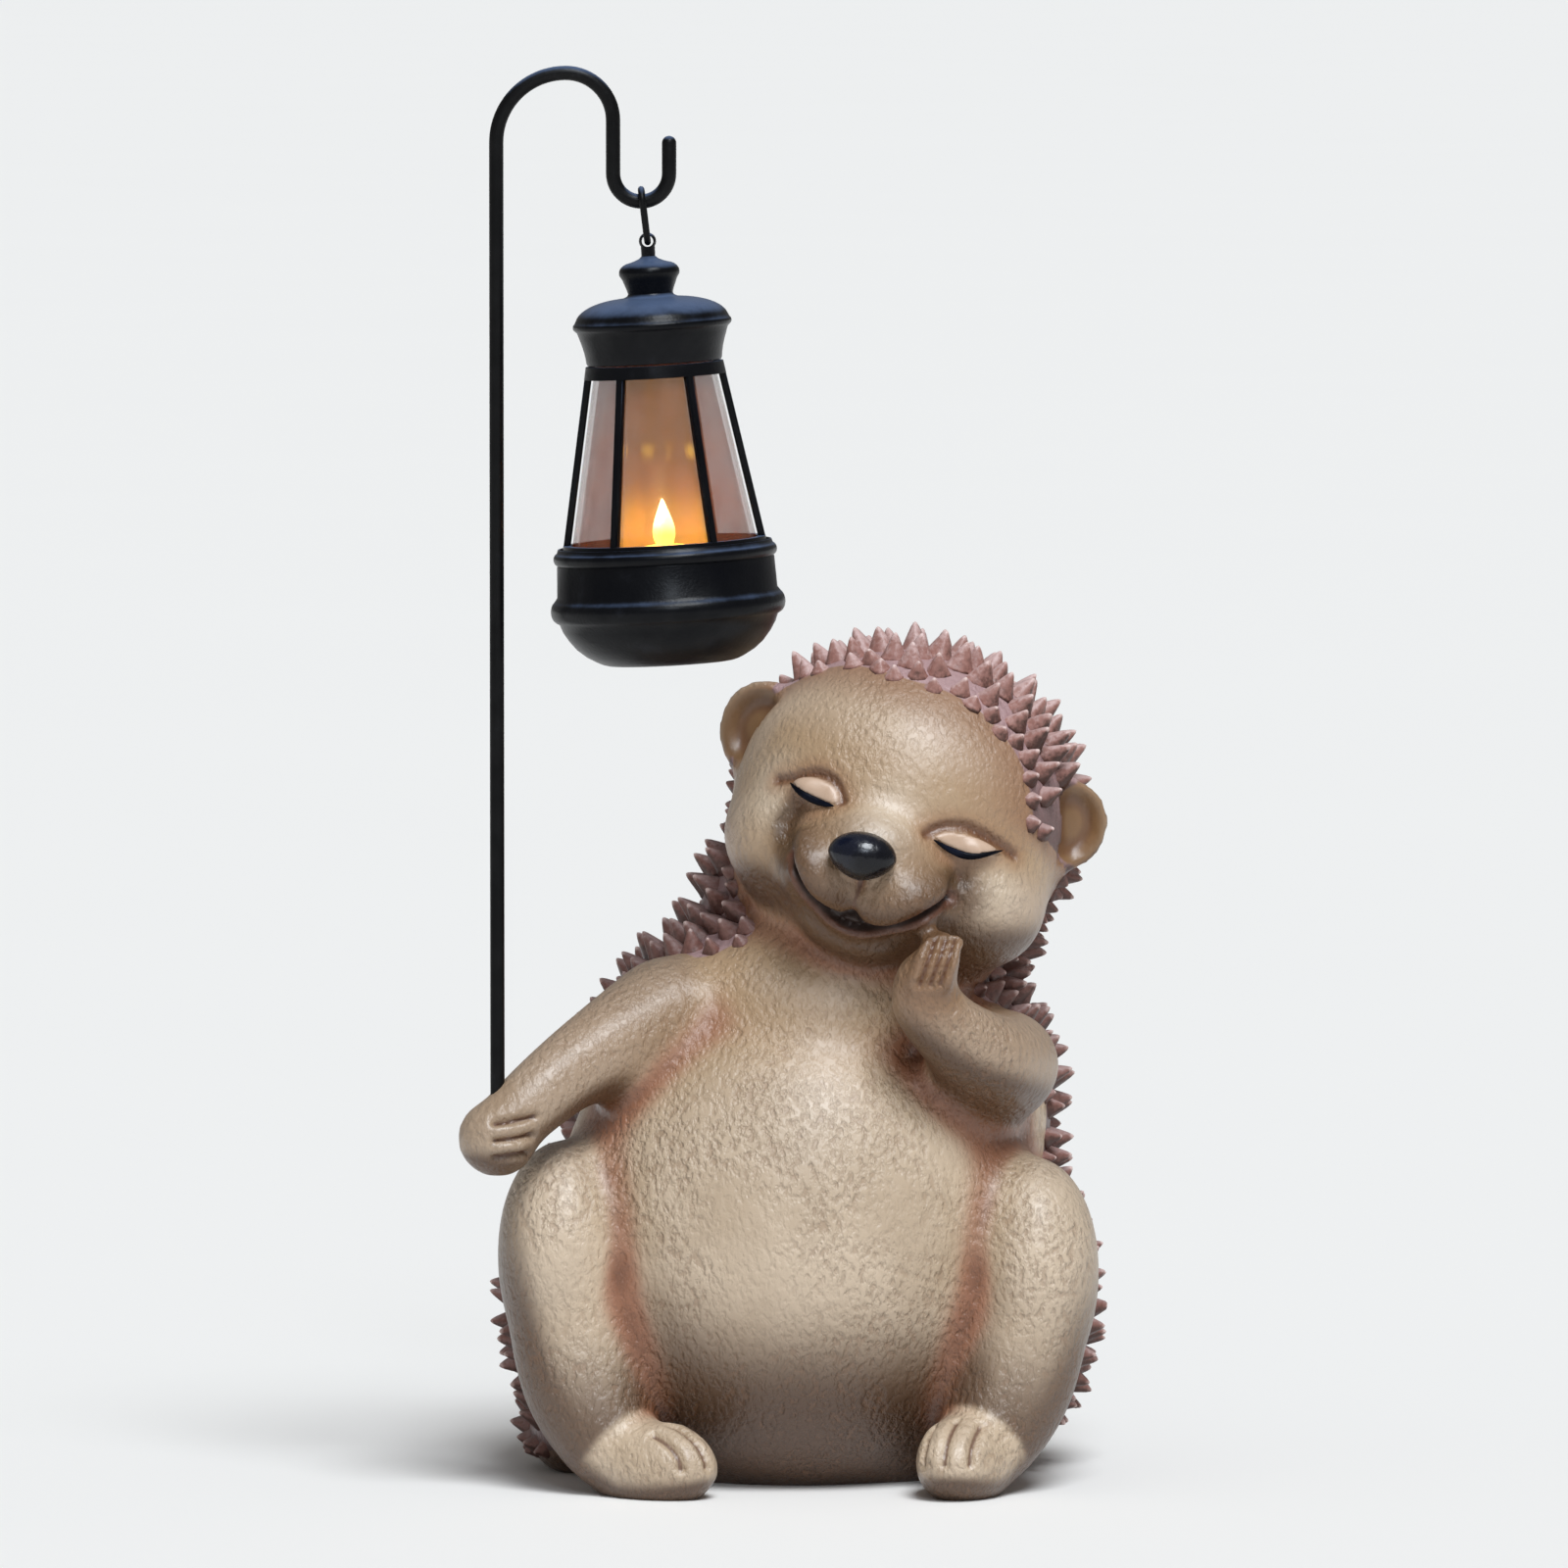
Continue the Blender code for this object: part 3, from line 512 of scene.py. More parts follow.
def cut_flat(mesh):
    """Cuts the casting flat where it stands, and closes it."""
    bm = bmesh.new()
    bm.from_mesh(mesh)
    geometry = [*bm.verts, *bm.edges, *bm.faces]
    up = (0, 0, 1)
    bmesh.ops.bisect_plane(bm, geom=geometry, plane_co=(0, 0, 0), plane_no=up, clear_inner=True, dist=1e-5)
    for vert in bm.verts:
        vert.co.z = max(vert.co.z, 0.0)
    rim = [edge for edge in bm.edges if edge.is_boundary]
    bmesh.ops.triangle_fill(bm, edges=rim, use_beauty=True, normal=(0, 0, -1))
    bmesh.ops.recalc_face_normals(bm, faces=bm.faces)
    bm.to_mesh(mesh)
    bm.free()


cut_flat(skin)
core_tree = tree_of(core)


def coat_reach(points):
    """How far points lie behind the quill coat's front edge, in mm; negative on bare skin.

    The edge runs forward over the crown, further on the left, and again at the shoulders and near the ground.
    """
    here = points / MM
    local = seen_from(HEAD, points)
    left = eased((local[:, 0] + 5) / 25)
    reach = 8.0 + 14.5 * eased((local[:, 0] + 36) / 34)
    head_edge = 3.0 - reach * eased((local[:, 2] - 4 + 9 * left) / (22 - 8 * left))
    shoulder = eased((here[:, 2] - np.where(here[:, 0] < 10, 98, 88)) / 9)
    body_edge = -1.0 - 20.0 * shoulder - 15.0 * eased((42 - here[:, 2]) / 22)
    off_head = eased((np.linalg.norm(local, axis=1) - 35) / 6)
    on_head = local[:, 1] - head_edge
    on_body = np.minimum(here[:, 1] - body_edge, here[:, 2] - 4)
    return on_head + (on_body - on_head) * off_head


def record_paint_guides(mesh):
    """Hollow washes and painted shade, painted shade below and low, painted highlights, where coat and limbs
    start.
    """
    points = places(mesh)
    outward = normals(mesh)
    pairs = links(mesh)
    # Hollows and folds take brown washes and painted shade, and what stands proud takes a painted highlight.
    for name, rounds, least, most in (
        ("crease", 10, 0.02, 0.30),
        ("fold", 110, -0.1, 1.7),
        ("hollow", 300, -0.6, 3.0),
        ("proud", 160, 0.0, -1.6),
    ):
        depth = ((evened(points, pairs, rounds) - points) * outward).sum(1) / MM
        depth = eased((depth - least) / (most - least))
        record(mesh, name, evened(depth[:, None], pairs, 2)[:, 0])
    facing = evened(outward, pairs, 40)
    facing /= np.linalg.norm(facing, axis=1)[:, None]
    # Painted shade goes on what faces down.
    record(mesh, "under", eased((0.02 - facing[:, 2]) / 0.85))
    # Painted shade low down, more on the outer sides and most on the left.
    off_feet = [np.linalg.norm(seen_from(axes, points) / FOOT_RADII, axis=1) for axes in FEET]
    off_soles = 1 - eased((1.35 - np.min(off_feet, axis=0)) / 0.25)
    outer = 1.2 * eased((-facing[:, 0] - 0.15) / 0.9) + 0.5 * eased((facing[:, 0] - 0.3) / 0.7)
    record(mesh, "foot", eased(1.05 + 0.55 * outer - points[:, 2] / MM / 48) * off_soles)
    above = np.array([core_tree.find_nearest(point)[3] for point in points]) / MM
    ears = [seen_from(ear_axes(side), points) / (9.4, 5.0, 10.2) for side in (-1, 1)]
    cup = eased((1.05 - np.min(np.linalg.norm(ears, axis=2), axis=0)) / 0.35)
    record(mesh, "cup", cup)
    on_core = 1 - eased((above - 1.4) / 1.6)
    record(mesh, "coat", eased((coat_reach(points) - 0.2) / 2.0) * on_core * (1 - cup))
    record(mesh, "limb", eased((above - 1.5) / 4.0))
    off_head = np.linalg.norm(seen_from(HEAD, points), axis=1)
    record(mesh, "hairline", eased((coat_reach(points) + 13) / 14) * eased((42 - off_head) / 4))


record_paint_guides(skin)
figure = shown("hedgehog_skin", smoothed(skin, 62))


class Shade:
    """One socket of a material. Sums on it add Math nodes, and node() adds any other node."""

    def __init__(self, tree, socket=None):
        self.tree = tree
        self.socket = socket

    def node(self, kind, settings=None, sockets=None, output=0):
        made = self.tree.nodes.new("ShaderNode" + kind)
        for name, value in (settings or {}).items():
            setattr(made, name, value)
        for name, value in (sockets or {}).items():
            if isinstance(value, Shade):
                self.tree.links.new(value.socket, made.inputs[name])
            else:
                made.inputs[name].default_value = value
        return Shade(self.tree, made.outputs[output])

    def math(self, operation, first, second):
        return self.node("Math", {"operation": operation}, {0: first, 1: second})

    def __add__(self, other):
        return self.math("ADD", self, other)

    __radd__ = __add__

    def __sub__(self, other):
        return self.math("SUBTRACT", self, other)

    def __rsub__(self, other):
        return self.math("SUBTRACT", other, self)

    def __mul__(self, other):
        return self.math("MULTIPLY", self, other)

    __rmul__ = __mul__

    def ramped(self, low, high):
        """0 at low, 1 at high, and a smooth step between."""
        return self.node("MapRange", {"interpolation_type": "SMOOTHSTEP"}, {0: self, 1: low, 2: high})

    def mixed(self, first, second):
        """This socket's mix of two colours."""
        return self.node("Mix", {"data_type": "RGBA"}, {0: self, 6: first, 7: second}, output=2)

    def upward(self):
        """The Z of this place or direction."""
        return self.node("SeparateXYZ", None, {0: self}, output=2)

    def stretched(self, scale, rotation=(0, 0, 0)):
        return self.node("Mapping", None, {"Vector": self, "Rotation": rotation, "Scale": scale})

    def noise(self, scale, detail=2.0, roughness=0.5, distortion=0.0):
        sockets = {"Scale": scale, "Detail": detail, "Roughness": roughness, "Distortion": distortion}
        return self.node("TexNoise", None, {"Vector": self, **sockets})

    def place(self):
        """The place on the piece, in metres."""
        return self.node("TexCoord", output=3)

    def faces_up(self):
        """How far the surface faces up, from -1 to 1."""
        return self.node("NewGeometry", output=1).upward()

    def recorded(self, name):
        """A number that record() kept on the mesh."""
        return self.node("Attribute", {"attribute_name": name}, output=2)

    def bumps(self, height, strength, distance):
        return self.node("Bump", None, {"Strength": strength, "Distance": distance, "Height": height})


def paint(red, green, blue):
    """A colour given as a painter's chart gives it, 0 to 255, in the linear numbers that a shader takes."""
    chart = [part / 255 for part in (red, green, blue)]
    return (*[part / 12.92 if part < 0.04045 else ((part + 0.055) / 1.055) ** 2.4 for part in chart], 1.0)


def finish(name, constants):
    """A material: its Principled shader with the constants on its sockets, and a Shade to build on."""
    made = bpy.data.materials.new(name)
    made.use_nodes = True
    shader = made.node_tree.nodes["Principled BSDF"]
    for socket, value in constants.items():
        shader.inputs[socket].default_value = value
    return made, shader, Shade(made.node_tree)


def feed(shader, socket, shade):
    shade.tree.links.new(shade.socket, shader.inputs[socket])


def painted_skin():
    """Cream ground with brown washes, painted shade and highlights, and short slanting dabs left by the
    modelling tool.
    """
    made, shader, shade = finish(
        "painted_resin_skin", {"Specular IOR Level": 0.55, "Coat Weight": 0.42, "Coat Roughness": 0.36}
    )
    spot = shade.place()
    slanted = spot.stretched((1, 0.8, 0.66), rotation=(0.25, 0.62, 0.3))
    dabs = slanted.noise(760, detail=2.5)
    strokes = slanted.noise(400, detail=1.5)
    spread = spot.noise(52)
    grain = spot.noise(3000)
    cloud = spot.noise(34, detail=4, roughness=0.6)
    guide = {
        name: shade.recorded(name)
        for name in (
            "crease", "fold", "hollow", "proud", "under", "foot", "limb", "coat", "hairline", "cup",
            "paw", "high", "lid", "brow", "socket", "mouth", "lips", "muzzle", "cheek", "gap",
        )
    }
    smooth_parts = 1 - (guide["lid"] + guide["mouth"] + guide["cup"] + guide["gap"] * 0.6).ramped(0.1, 0.6)
    height = spot.upward()
    worked = (spread.ramped(0.32, 0.64) * 0.55 + 0.45) * (1 - height.ramped(0.09, 0.12) * 0.3)
    dents = dabs.ramped(0.64, 0.28) * worked * smooth_parts
    relief = dents * -1.35 + strokes * worked + (grain - 0.5) * 0.10 + cloud * 0.6
    feed(shader, "Normal", shade.bumps(relief, strength=0.85, distance=0.0004))

    # A darker tan towards the top of the figure, but not on the high places.
    darker_above = (height + (cloud - 0.5) * 0.02).ramped(0.072, 0.104) * (1 - guide["high"] * 0.9)
    # Brown washes in the hollows and folds, darkened beyond the paint as painted shade.
    hollow_wash_and_shade = (guide["hollow"] + (cloud - 0.5) * 0.15).ramped(0.0, 0.85)
    # Painted shade on what faces down.
    shadow = (guide["under"] + (cloud - 0.5) * 0.15).ramped(0.0, 0.75)
    # Brown airbrush in the folds, darker as painted shade.
    fold_wash_and_shade = guide["fold"] * (1 - guide["limb"] * 0.3)
    colour = cloud.ramped(0.35, 0.65).mixed(paint(180, 157, 130), paint(199, 177, 151))
    for cover, coat in (
        (darker_above * 0.62, paint(156, 120, 80)),
        # A darker tan on the limbs higher up.
        (guide["limb"] * height.ramped(0.062, 0.078) * 0.5, paint(128, 98, 74)),
        # Painted highlight on the raised places.
        (guide["proud"] * (1 - guide["limb"] * 0.6) * 0.3, paint(222, 208, 194)),
        # Painted highlight on the bridge of the nose and the cheeks.
        (guide["high"] * 0.4, paint(214, 196, 174)),
        (hollow_wash_and_shade * 0.9, paint(160, 104, 76)),
        (shadow * 0.95, paint(82, 54, 30)),
        # Painted shade low down and on the outer sides.
        (guide["foot"].ramped(0.0, 0.95) * 0.92, paint(84, 58, 38)),
        (fold_wash_and_shade.ramped(0.0, 1.1) * 0.75, paint(122, 74, 44)),
        (guide["hairline"] * 0.75, paint(140, 98, 70)),
        (guide["paw"].ramped(0.1, 0.9) * 0.7, paint(128, 92, 62)),
        # Dark brown round the mouth, partly painted shade under the lips.
        (guide["muzzle"].ramped(0.08, 0.85) * 0.88, paint(92, 62, 34)),
        # Painted shade in the creases beside the muzzle.
        (guide["cheek"].ramped(0.0, 0.8) * 0.85, paint(78, 54, 28)),
        # Brown round the eyes and a dark line in the lid creases, partly painted shade.
        (guide["socket"].ramped(0.1, 0.9) * 0.5, paint(150, 108, 74)),
        (guide["brow"].ramped(0.1, 0.8) * 0.8, paint(108, 70, 42)),
        (guide["lid"] * 0.9, paint(200, 170, 146)),
        # Brown in the ear cups, partly painted shade.
        (guide["cup"].ramped(0.0, 0.8) * 0.9, paint(124, 92, 58)),
        # Darker brown in the tool dents, partly painted shade.
        (dents.ramped(0.35, 0.9) * 0.3, paint(124, 88, 60)),
        # Painted shade: a dark line in the narrow creases.
        (guide["crease"].ramped(0.35, 1.0) * 0.55, paint(92, 54, 32)),
        (guide["gap"].ramped(0.15, 0.9) * 0.75, paint(92, 56, 36)),
        (guide["lips"].ramped(0.15, 0.9) * 0.75, paint(96, 52, 32)),
        (guide["mouth"].ramped(0.25, 0.8), paint(44, 24, 14)),
    ):
        colour = cover.mixed(colour, coat)
    furred = (guide["coat"] + (cloud - 0.5) * 0.3).ramped(0.3, 0.7)
    # Painted light on the skin between the quills: pale where it faces up, dark brown where it faces down.
    under_quills = shade.faces_up().ramped(-0.35, 0.75).mixed(paint(78, 48, 42), paint(172, 140, 140))
    feed(shader, "Base Color", furred.mixed(colour, under_quills))
    matt = (guide["muzzle"] + guide["coat"]) * 0.08 + guide["mouth"] * 0.2
    feed(shader, "Roughness", 0.44 + (cloud - 0.5) * 0.12 + matt)
    return made


skin.materials.append(painted_skin())
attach(figure, "root")
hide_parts("hedgehog")

# The coat of quills
# Short blunt thorns over the back, shoulders and crown, in one casting with the figure. Each is pressed from
# the same clay, a little apart from the next, and dry brushed with a pale pink over brown so that the tips
# catch the colour. Light and shade are painted on too: paler where the quills face up, dark brown where they
# face down, and darker on the lowest ones.

DRAWS = 26000
COAT_EDGE = 0.4
PUSHES = 14


def quill_seats():
    """Places for the quills on the back and crown, evenly spread, and closer together at the hairline."""
    chance = np.random.default_rng(11)
    core.calc_loop_triangles()
    faces = places(core)[read(core.loop_triangles, "vertices", 3, np.int32)]
    area = np.linalg.norm(np.cross(faces[:, 1] - faces[:, 0], faces[:, 2] - faces[:, 0]), axis=1)
    picked = faces[chance.choice(len(faces), DRAWS, p=area / area.sum())]
    along_side, across = chance.random((2, DRAWS, 1))
    folded = along_side + across > 1
    along_side, across = np.where(folded, 1 - along_side, along_side), np.where(folded, 1 - across, across)
    seats = picked[:, 0] + along_side * (picked[:, 1] - picked[:, 0]) + across * (picked[:, 2] - picked[:, 0])
    seats = seats[coat_reach(seats) > COAT_EDGE]
    room = spacing(seats)
    kept = []
    for index in range(len(seats)):
        if not kept or np.linalg.norm(seats[kept] - seats[index], axis=1).min() > room[index]:
            kept.append(index)
    seats = seats[kept]
    for _ in range(PUSHES):
        gap = seats[:, None] - seats[None]
        far = np.linalg.norm(gap, axis=2) + np.eye(len(seats))
        push = np.clip(spacing(seats)[:, None] * 1.12 - far, 0, None)
        moved = seats + 0.28 * (gap / far[..., None] * push[..., None]).sum(1)
        moved = np.array([core_tree.find_nearest(point)[0] for point in moved])
        stays = coat_reach(moved) < COAT_EDGE
        seats = np.where(stays[:, None], seats, moved)
    return seats


def spacing(seats):
    """How far apart quills stand at least: 3.3 mm at the hairline, and 4.9 mm from 10 mm behind it."""
    return (3.3 + 1.6 * eased(coat_reach(seats) / 10)) * MM


QUILL_FLANK = ((-1.0, 1.15), (0.0, 1.0), (0.14, 0.84), (0.36, 0.66), (0.60, 0.47), (0.82, 0.28), (0.95, 0.13))
QUILL_SIDES = 9
NEAR_SKIN = 1.3 * MM
EAR_ROOM = 11 * MM


def quill_coat():
    """Blunt thorns on the skin: a foot below it, a round flank that QUILL_FLANK gives, and a point."""
    seats = quill_seats()
    bare = tree_of(skin)
    chance = np.random.default_rng(5)
    verts, faces, rises, tones = [], [], [], []
    for seat in seats:
        on_skin, normal, _, off = bare.find_nearest(seat)
        lean = chance.normal(0, 0.09, 3)
        turn = chance.random() * math.tau
        size, stretch, tone = chance.random(), chance.random(), chance.random()
        off_ear = min((ear_axes(side).translation - Vector(seat)).length for side in (-1, 1))
        if off > NEAR_SKIN or off_ear < EAR_ROOM:
            continue
        reach = coat_reach(np.array([seat]))[0]
        room = spacing(np.array([seat]))[0]
        up = (Vector(normal) + Vector((0, 0, 0.16)) + Vector(lean)).normalized()
        height = (2.3 + 3.0 * eased(reach / 9)) * (0.84 + 0.32 * stretch) * MM
        girth = room * (0.56 + 0.10 * size)
        side = up.orthogonal().normalized()
        other = up.cross(side)
        first = len(verts)
        for rise, share in QUILL_FLANK:
            level = on_skin + up * (height * rise if rise > 0 else MM * rise)
            for step in range(QUILL_SIDES):
                angle = turn + math.tau * step / QUILL_SIDES
                wide = girth * share * (1 + 0.10 * math.sin(3 * angle + turn * 5))
                verts.append(level + side * (wide * math.cos(angle)) + other * (wide * math.sin(angle)))
                rises.append(max(0.0, rise))
                tones.append(tone)
        verts.append(on_skin + up * height)
        rises.append(1.0)
        tones.append(tone)
        for ring in range(len(QUILL_FLANK) - 1):
            low = first + ring * QUILL_SIDES
            for step in range(QUILL_SIDES):
                after = (step + 1) % QUILL_SIDES
                faces.append((low + step, low + after, low + QUILL_SIDES + after, low + QUILL_SIDES + step))
        top = first + (len(QUILL_FLANK) - 1) * QUILL_SIDES
        faces += [(top + step, top + (step + 1) % QUILL_SIDES, len(verts) - 1) for step in range(QUILL_SIDES)]
        faces.append(tuple(first + step for step in reversed(range(QUILL_SIDES))))
    edge = 0.3 * MM
    verts = np.clip(np.array(verts), np.array(cad_low) + edge, np.array(cad_high) - edge)
    mesh = bpy.data.meshes.new("quill_coat")
    mesh.from_pydata(verts, [], faces)
    record(mesh, "rise", np.array(rises))
    record(mesh, "tone", np.array(tones))
    mesh.shade_smooth()
    return shown("quill_coat", mesh)


def dry_brushed_and_shaded_quills():
    made, shader, shade = finish("painted_resin_quills", {"Specular IOR Level": 0.45})
    spot = shade.place()
    cloud = spot.noise(45, detail=3)
    brush = spot.noise(900, detail=3, roughness=0.6)
    rise, tone = shade.recorded("rise"), shade.recorded("tone")
    uneven = (brush - 0.5) * 0.8 + (tone - 0.5) * 0.2 + (cloud - 0.5) * 0.3
    # Painted light: what faces up is paler and what faces down dark brown, over the dry brushed tips.
    level = shade.faces_up() * 0.55 + rise * 0.22 + uneven
    flank = level.ramped(-0.25, 0.25).mixed(paint(70, 42, 34), paint(156, 112, 102))
    dry_brush_and_painted_light = level.ramped(0.18, 0.60).mixed(flank, paint(198, 167, 162))
    # Painted shade on the lowest quills, near the ground.
    low = spot.upward().ramped(0.160, 0.125)
    dry_brush_and_painted_light = (low * 0.45).mixed(dry_brush_and_painted_light, paint(84, 52, 44))
    colour = (rise + (brush - 0.5) * 0.3).ramped(0.80, 1.05).mixed(dry_brush_and_painted_light, paint(222, 196, 189))
    feed(shader, "Base Color", colour)
    feed(shader, "Roughness", 0.42 + (brush - 0.5) * 0.25)
    feed(shader, "Normal", shade.bumps(brush, strength=0.5, distance=0.0004))
    return made


quills = quill_coat()
quills.data.materials.append(dry_brushed_and_shaded_quills())
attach(quills, "root")

# The nose
# A bead of the same casting, sprayed in gloss black with a blue cast. It is a little wider than high and set
# on top of the snout.


def nose():
    bm = bmesh.new()
    seat = Matrix.Translation(Vector((-0.7, -42.1, -7.7)) * MM)
    tilt = HEAD @ seat @ Matrix.Rotation(math.radians(-7.5), 4, "Y")
    half_width, half_height = 7.2, 5.1
    ball(bm, (0, 0, 0), (half_width, 5.3, half_height), tilt, detail=5)
    for vert in bm.verts:
        x, y, z = seen_from(tilt, np.array([vert.co]))[0]
        drop = 0.10 * max(0.0, -z) * abs(x) / half_width
        narrow = 1 - 0.12 * max(0.0, -z / half_height)
        vert.co = tilt @ (Vector((x * narrow, y, z + drop)) * MM)
    mesh = meshed("nose", bm)
    mesh.shade_smooth()
    return shown("nose", mesh)


def black_paint(name, gloss, roughness):
    made, shader, shade = finish(name, {"Specular IOR Level": gloss, "Coat Roughness": 0.10})
    spot = shade.place()
    peel = spot.noise(700)
    dust = spot.noise(90, detail=4)
    feed(shader, "Base Color", dust.ramped(0.4, 0.75).mixed(paint(6, 7, 14), paint(18, 22, 38)))
    feed(shader, "Roughness", roughness + (peel - 0.5) * 0.3)
    feed(shader, "Coat Weight", dust.ramped(0.3, 0.7) * gloss)
    feed(shader, "Normal", shade.bumps(peel, strength=0.35, distance=0.0004))
    return made


nose_bead = nose()
nose_bead.data.materials.append(black_paint("gloss_black_paint", gloss=0.34, roughness=0.26))
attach(nose_bead, "root")

# The closed eyes
# A lash line is drawn with a fine brush along the foot of each lid, thin at its ends and full in the middle.
# It is a thick line of black paint that stands a little proud of the lid.


def tube(name, path, radii, sides=16, closed=False, flat=1.0, facing=None):
    """A tube along a path, with a radius at each point; open tubes close at both ends."""
    path = [Vector(point) for point in path]
    count = len(path)
    bm = bmesh.new()
    rings = []
    side = None
    for index, point in enumerate(path):
        before = path[index - 1] if closed or index else point
        after = path[(index + 1) % count] if closed or index + 1 < count else point
        run = (after - before).normalized()
        if facing is not None:
            side = run.cross(facing).normalized()
        elif side is None:
            side = run.orthogonal().normalized()
        else:
            side = (side - run * side.dot(run)).normalized()
        other = run.cross(side)
        ring = []
        for step in range(sides):
            angle = math.tau * step / sides
            reach = side * math.cos(angle) + other * (math.sin(angle) * flat)
            ring.append(bm.verts.new(point + reach * radii[index]))
        rings.append(ring)
    pairs = list(zip(rings, rings[1:]))
    if closed:
        pairs.append((rings[-1], rings[0]))
    for low, high in pairs:
        for step in range(sides):
            after = (step + 1) % sides
            bm.faces.new((low[step], low[after], high[after], high[step]))
    if not closed:
        bm.faces.new(rings[0])
        bm.faces.new(rings[-1])
    bmesh.ops.recalc_face_normals(bm, faces=bm.faces)
    return shown(name, smoothed(meshed(name, bm), 50))


LASH_PAINT = black_paint("lash_line_paint", gloss=0.06, roughness=0.5)
LASH_STEPS = 40
for eye_name, eye_path in zip(("right_eye_line", "left_eye_line"), eye_paths):
    fine_path = [along(eye_path, step / LASH_STEPS) for step in range(LASH_STEPS + 1)]
    brush = 0.05 + 0.72 * np.sin(np.linspace(0, math.pi, LASH_STEPS + 1)) ** 0.8
    drawn = [point + HEAD.to_3x3() @ Vector((0, -0.75, -0.1)) * MM for point in fine_path]
    eye_line = tube(eye_name, drawn, brush * MM, sides=12, flat=0.6, facing=TO_BACK)
    eye_line.data.materials.append(LASH_PAINT)
    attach(eye_line, "root")

# The crook
# One length of 3 mm steel wire, bent cold over two formers and cut off with a rounded tip, then dipped in
# satin black. Its foot is pushed into the fist.

WIRE = 1.5
ROD_FOOT = 71.6
ARCH_TOP = Vector((-48.2, -42.0, 296.0))
STEM_BEND = 14.4
HOOK_BEND = 9.8
TIP_BEND = 5.8
TIP_RISE = 7.8
HOOK_DROP = 11.0
HOOK_CENTRE = ARCH_TOP + Vector((HOOK_BEND + TIP_BEND, 0, -HOOK_BEND - HOOK_DROP))


def bend(centre, radius, start, end, steps):
    """Points of an arc in the crook's plane, between two angles in degrees from +X toward +Z."""
    angles = [math.radians(start + (end - start) * step / steps) for step in range(steps + 1)]
    return [centre + Vector((radius * math.cos(angle), 0, radius * math.sin(angle))) for angle in angles]


def crook():
    path = [Vector((FIST.x, FIST.y, ROD_FOOT)), Vector((FIST.x, FIST.y, 120)), Vector((FIST.x, FIST.y, 200))]
    path += bend(ARCH_TOP - Vector((0, 0, STEM_BEND)), STEM_BEND, 180, 90, 20)
    path += bend(ARCH_TOP - Vector((0, 0, HOOK_BEND)), HOOK_BEND, 90, 0, 16)[1:]
    path += bend(HOOK_CENTRE, TIP_BEND, -180, 0, 28)
    tip = HOOK_CENTRE + Vector((TIP_BEND, 0, TIP_RISE - WIRE))
    radii = [WIRE] * len(path)
    for angle in range(0, 91, 15):
        round_off = math.radians(angle)
        path.append(tip + Vector((0, 0, WIRE * math.sin(round_off))))
        radii.append(WIRE * max(0.02, math.cos(round_off)))
    return tube("crook", [point * MM for point in path], np.array(radii) * MM, sides=20)


def satin_black(name, colour, roughness, wear):
    made, shader, shade = finish(name, {"Specular IOR Level": 0.14, "Coat Roughness": 0.2})
    spot = shade.place()
    peel = spot.noise(1500)
    handled = spot.noise(120, detail=5, roughness=0.65)
    scuffs = handled.ramped(0.60, 0.75) * wear
    # Painted reflection of a blue sky on what faces up.
    painted_sky_sheen = (shade.faces_up() + (handled - 0.5) * 0.5).ramped(0.45, 1.0) * 0.55
    feed(shader, "Base Color", scuffs.mixed(painted_sky_sheen.mixed(colour, paint(104, 124, 160)), paint(64, 66, 76)))
    feed(shader, "Roughness", roughness + (handled - 0.5) * 0.28 + scuffs * 0.15)
    feed(shader, "Coat Weight", handled.ramped(0.35, 0.65) * 0.1)
    feed(shader, "Normal", shade.bumps(peel, strength=0.22, distance=0.0002))
    return made


BLACK_STEEL = satin_black("satin_black_steel", paint(8, 8, 9), roughness=0.45, wear=0.12)
crook_wire = crook()
crook_wire.data.materials.append(BLACK_STEEL)
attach(crook_wire, "root")
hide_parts("crook_rod")

# The hanging link
# A loop of 1.4 mm wire, closed round the hook and through the lantern's eye. It hangs by its own weight, a
# few degrees out of plumb.

LINK_WIRE = 0.7
LINK_HALF = WIRE + LINK_WIRE + 0.5
LINK_LEAN = math.radians(7.0)
LINK_TOP = HOOK_CENTRE + Vector((0, 0, -TIP_BEND + WIRE + LINK_WIRE + 0.3))
LINK_DOWN = Vector((math.sin(LINK_LEAN), 0, -math.cos(LINK_LEAN)))
LINK_LENGTH = 11.0
LINK_STEPS = 24


def hanging_link():
    middle = LINK_TOP + LINK_DOWN * LINK_LENGTH / 2
    straight = LINK_LENGTH / 2 - LINK_HALF
    path = []
    for end in (1, -1):
        for step in range(LINK_STEPS + 1):
            angle = math.pi * step / LINK_STEPS
            drawn_in = 1 - 0.22 * (0.5 + 0.5 * end) * math.cos(angle) ** 2
            down = LINK_DOWN * end * (straight + LINK_HALF * math.sin(angle))
            path.append(middle + down + Vector((0, end * LINK_HALF * math.cos(angle) * drawn_in, 0)))
    return tube("hanging_link", [point * MM for point in path], [LINK_WIRE * MM] * len(path), 12, closed=True)


link = hanging_link()
link.data.materials.append(BLACK_STEEL)
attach(link, "root")
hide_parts("hanger_link")

# The lantern's base
# A turned bowl in satin black plastic, with a plain band between two beads. It holds the battery, and a rim
# round its sunk floor takes the cage and the pane.

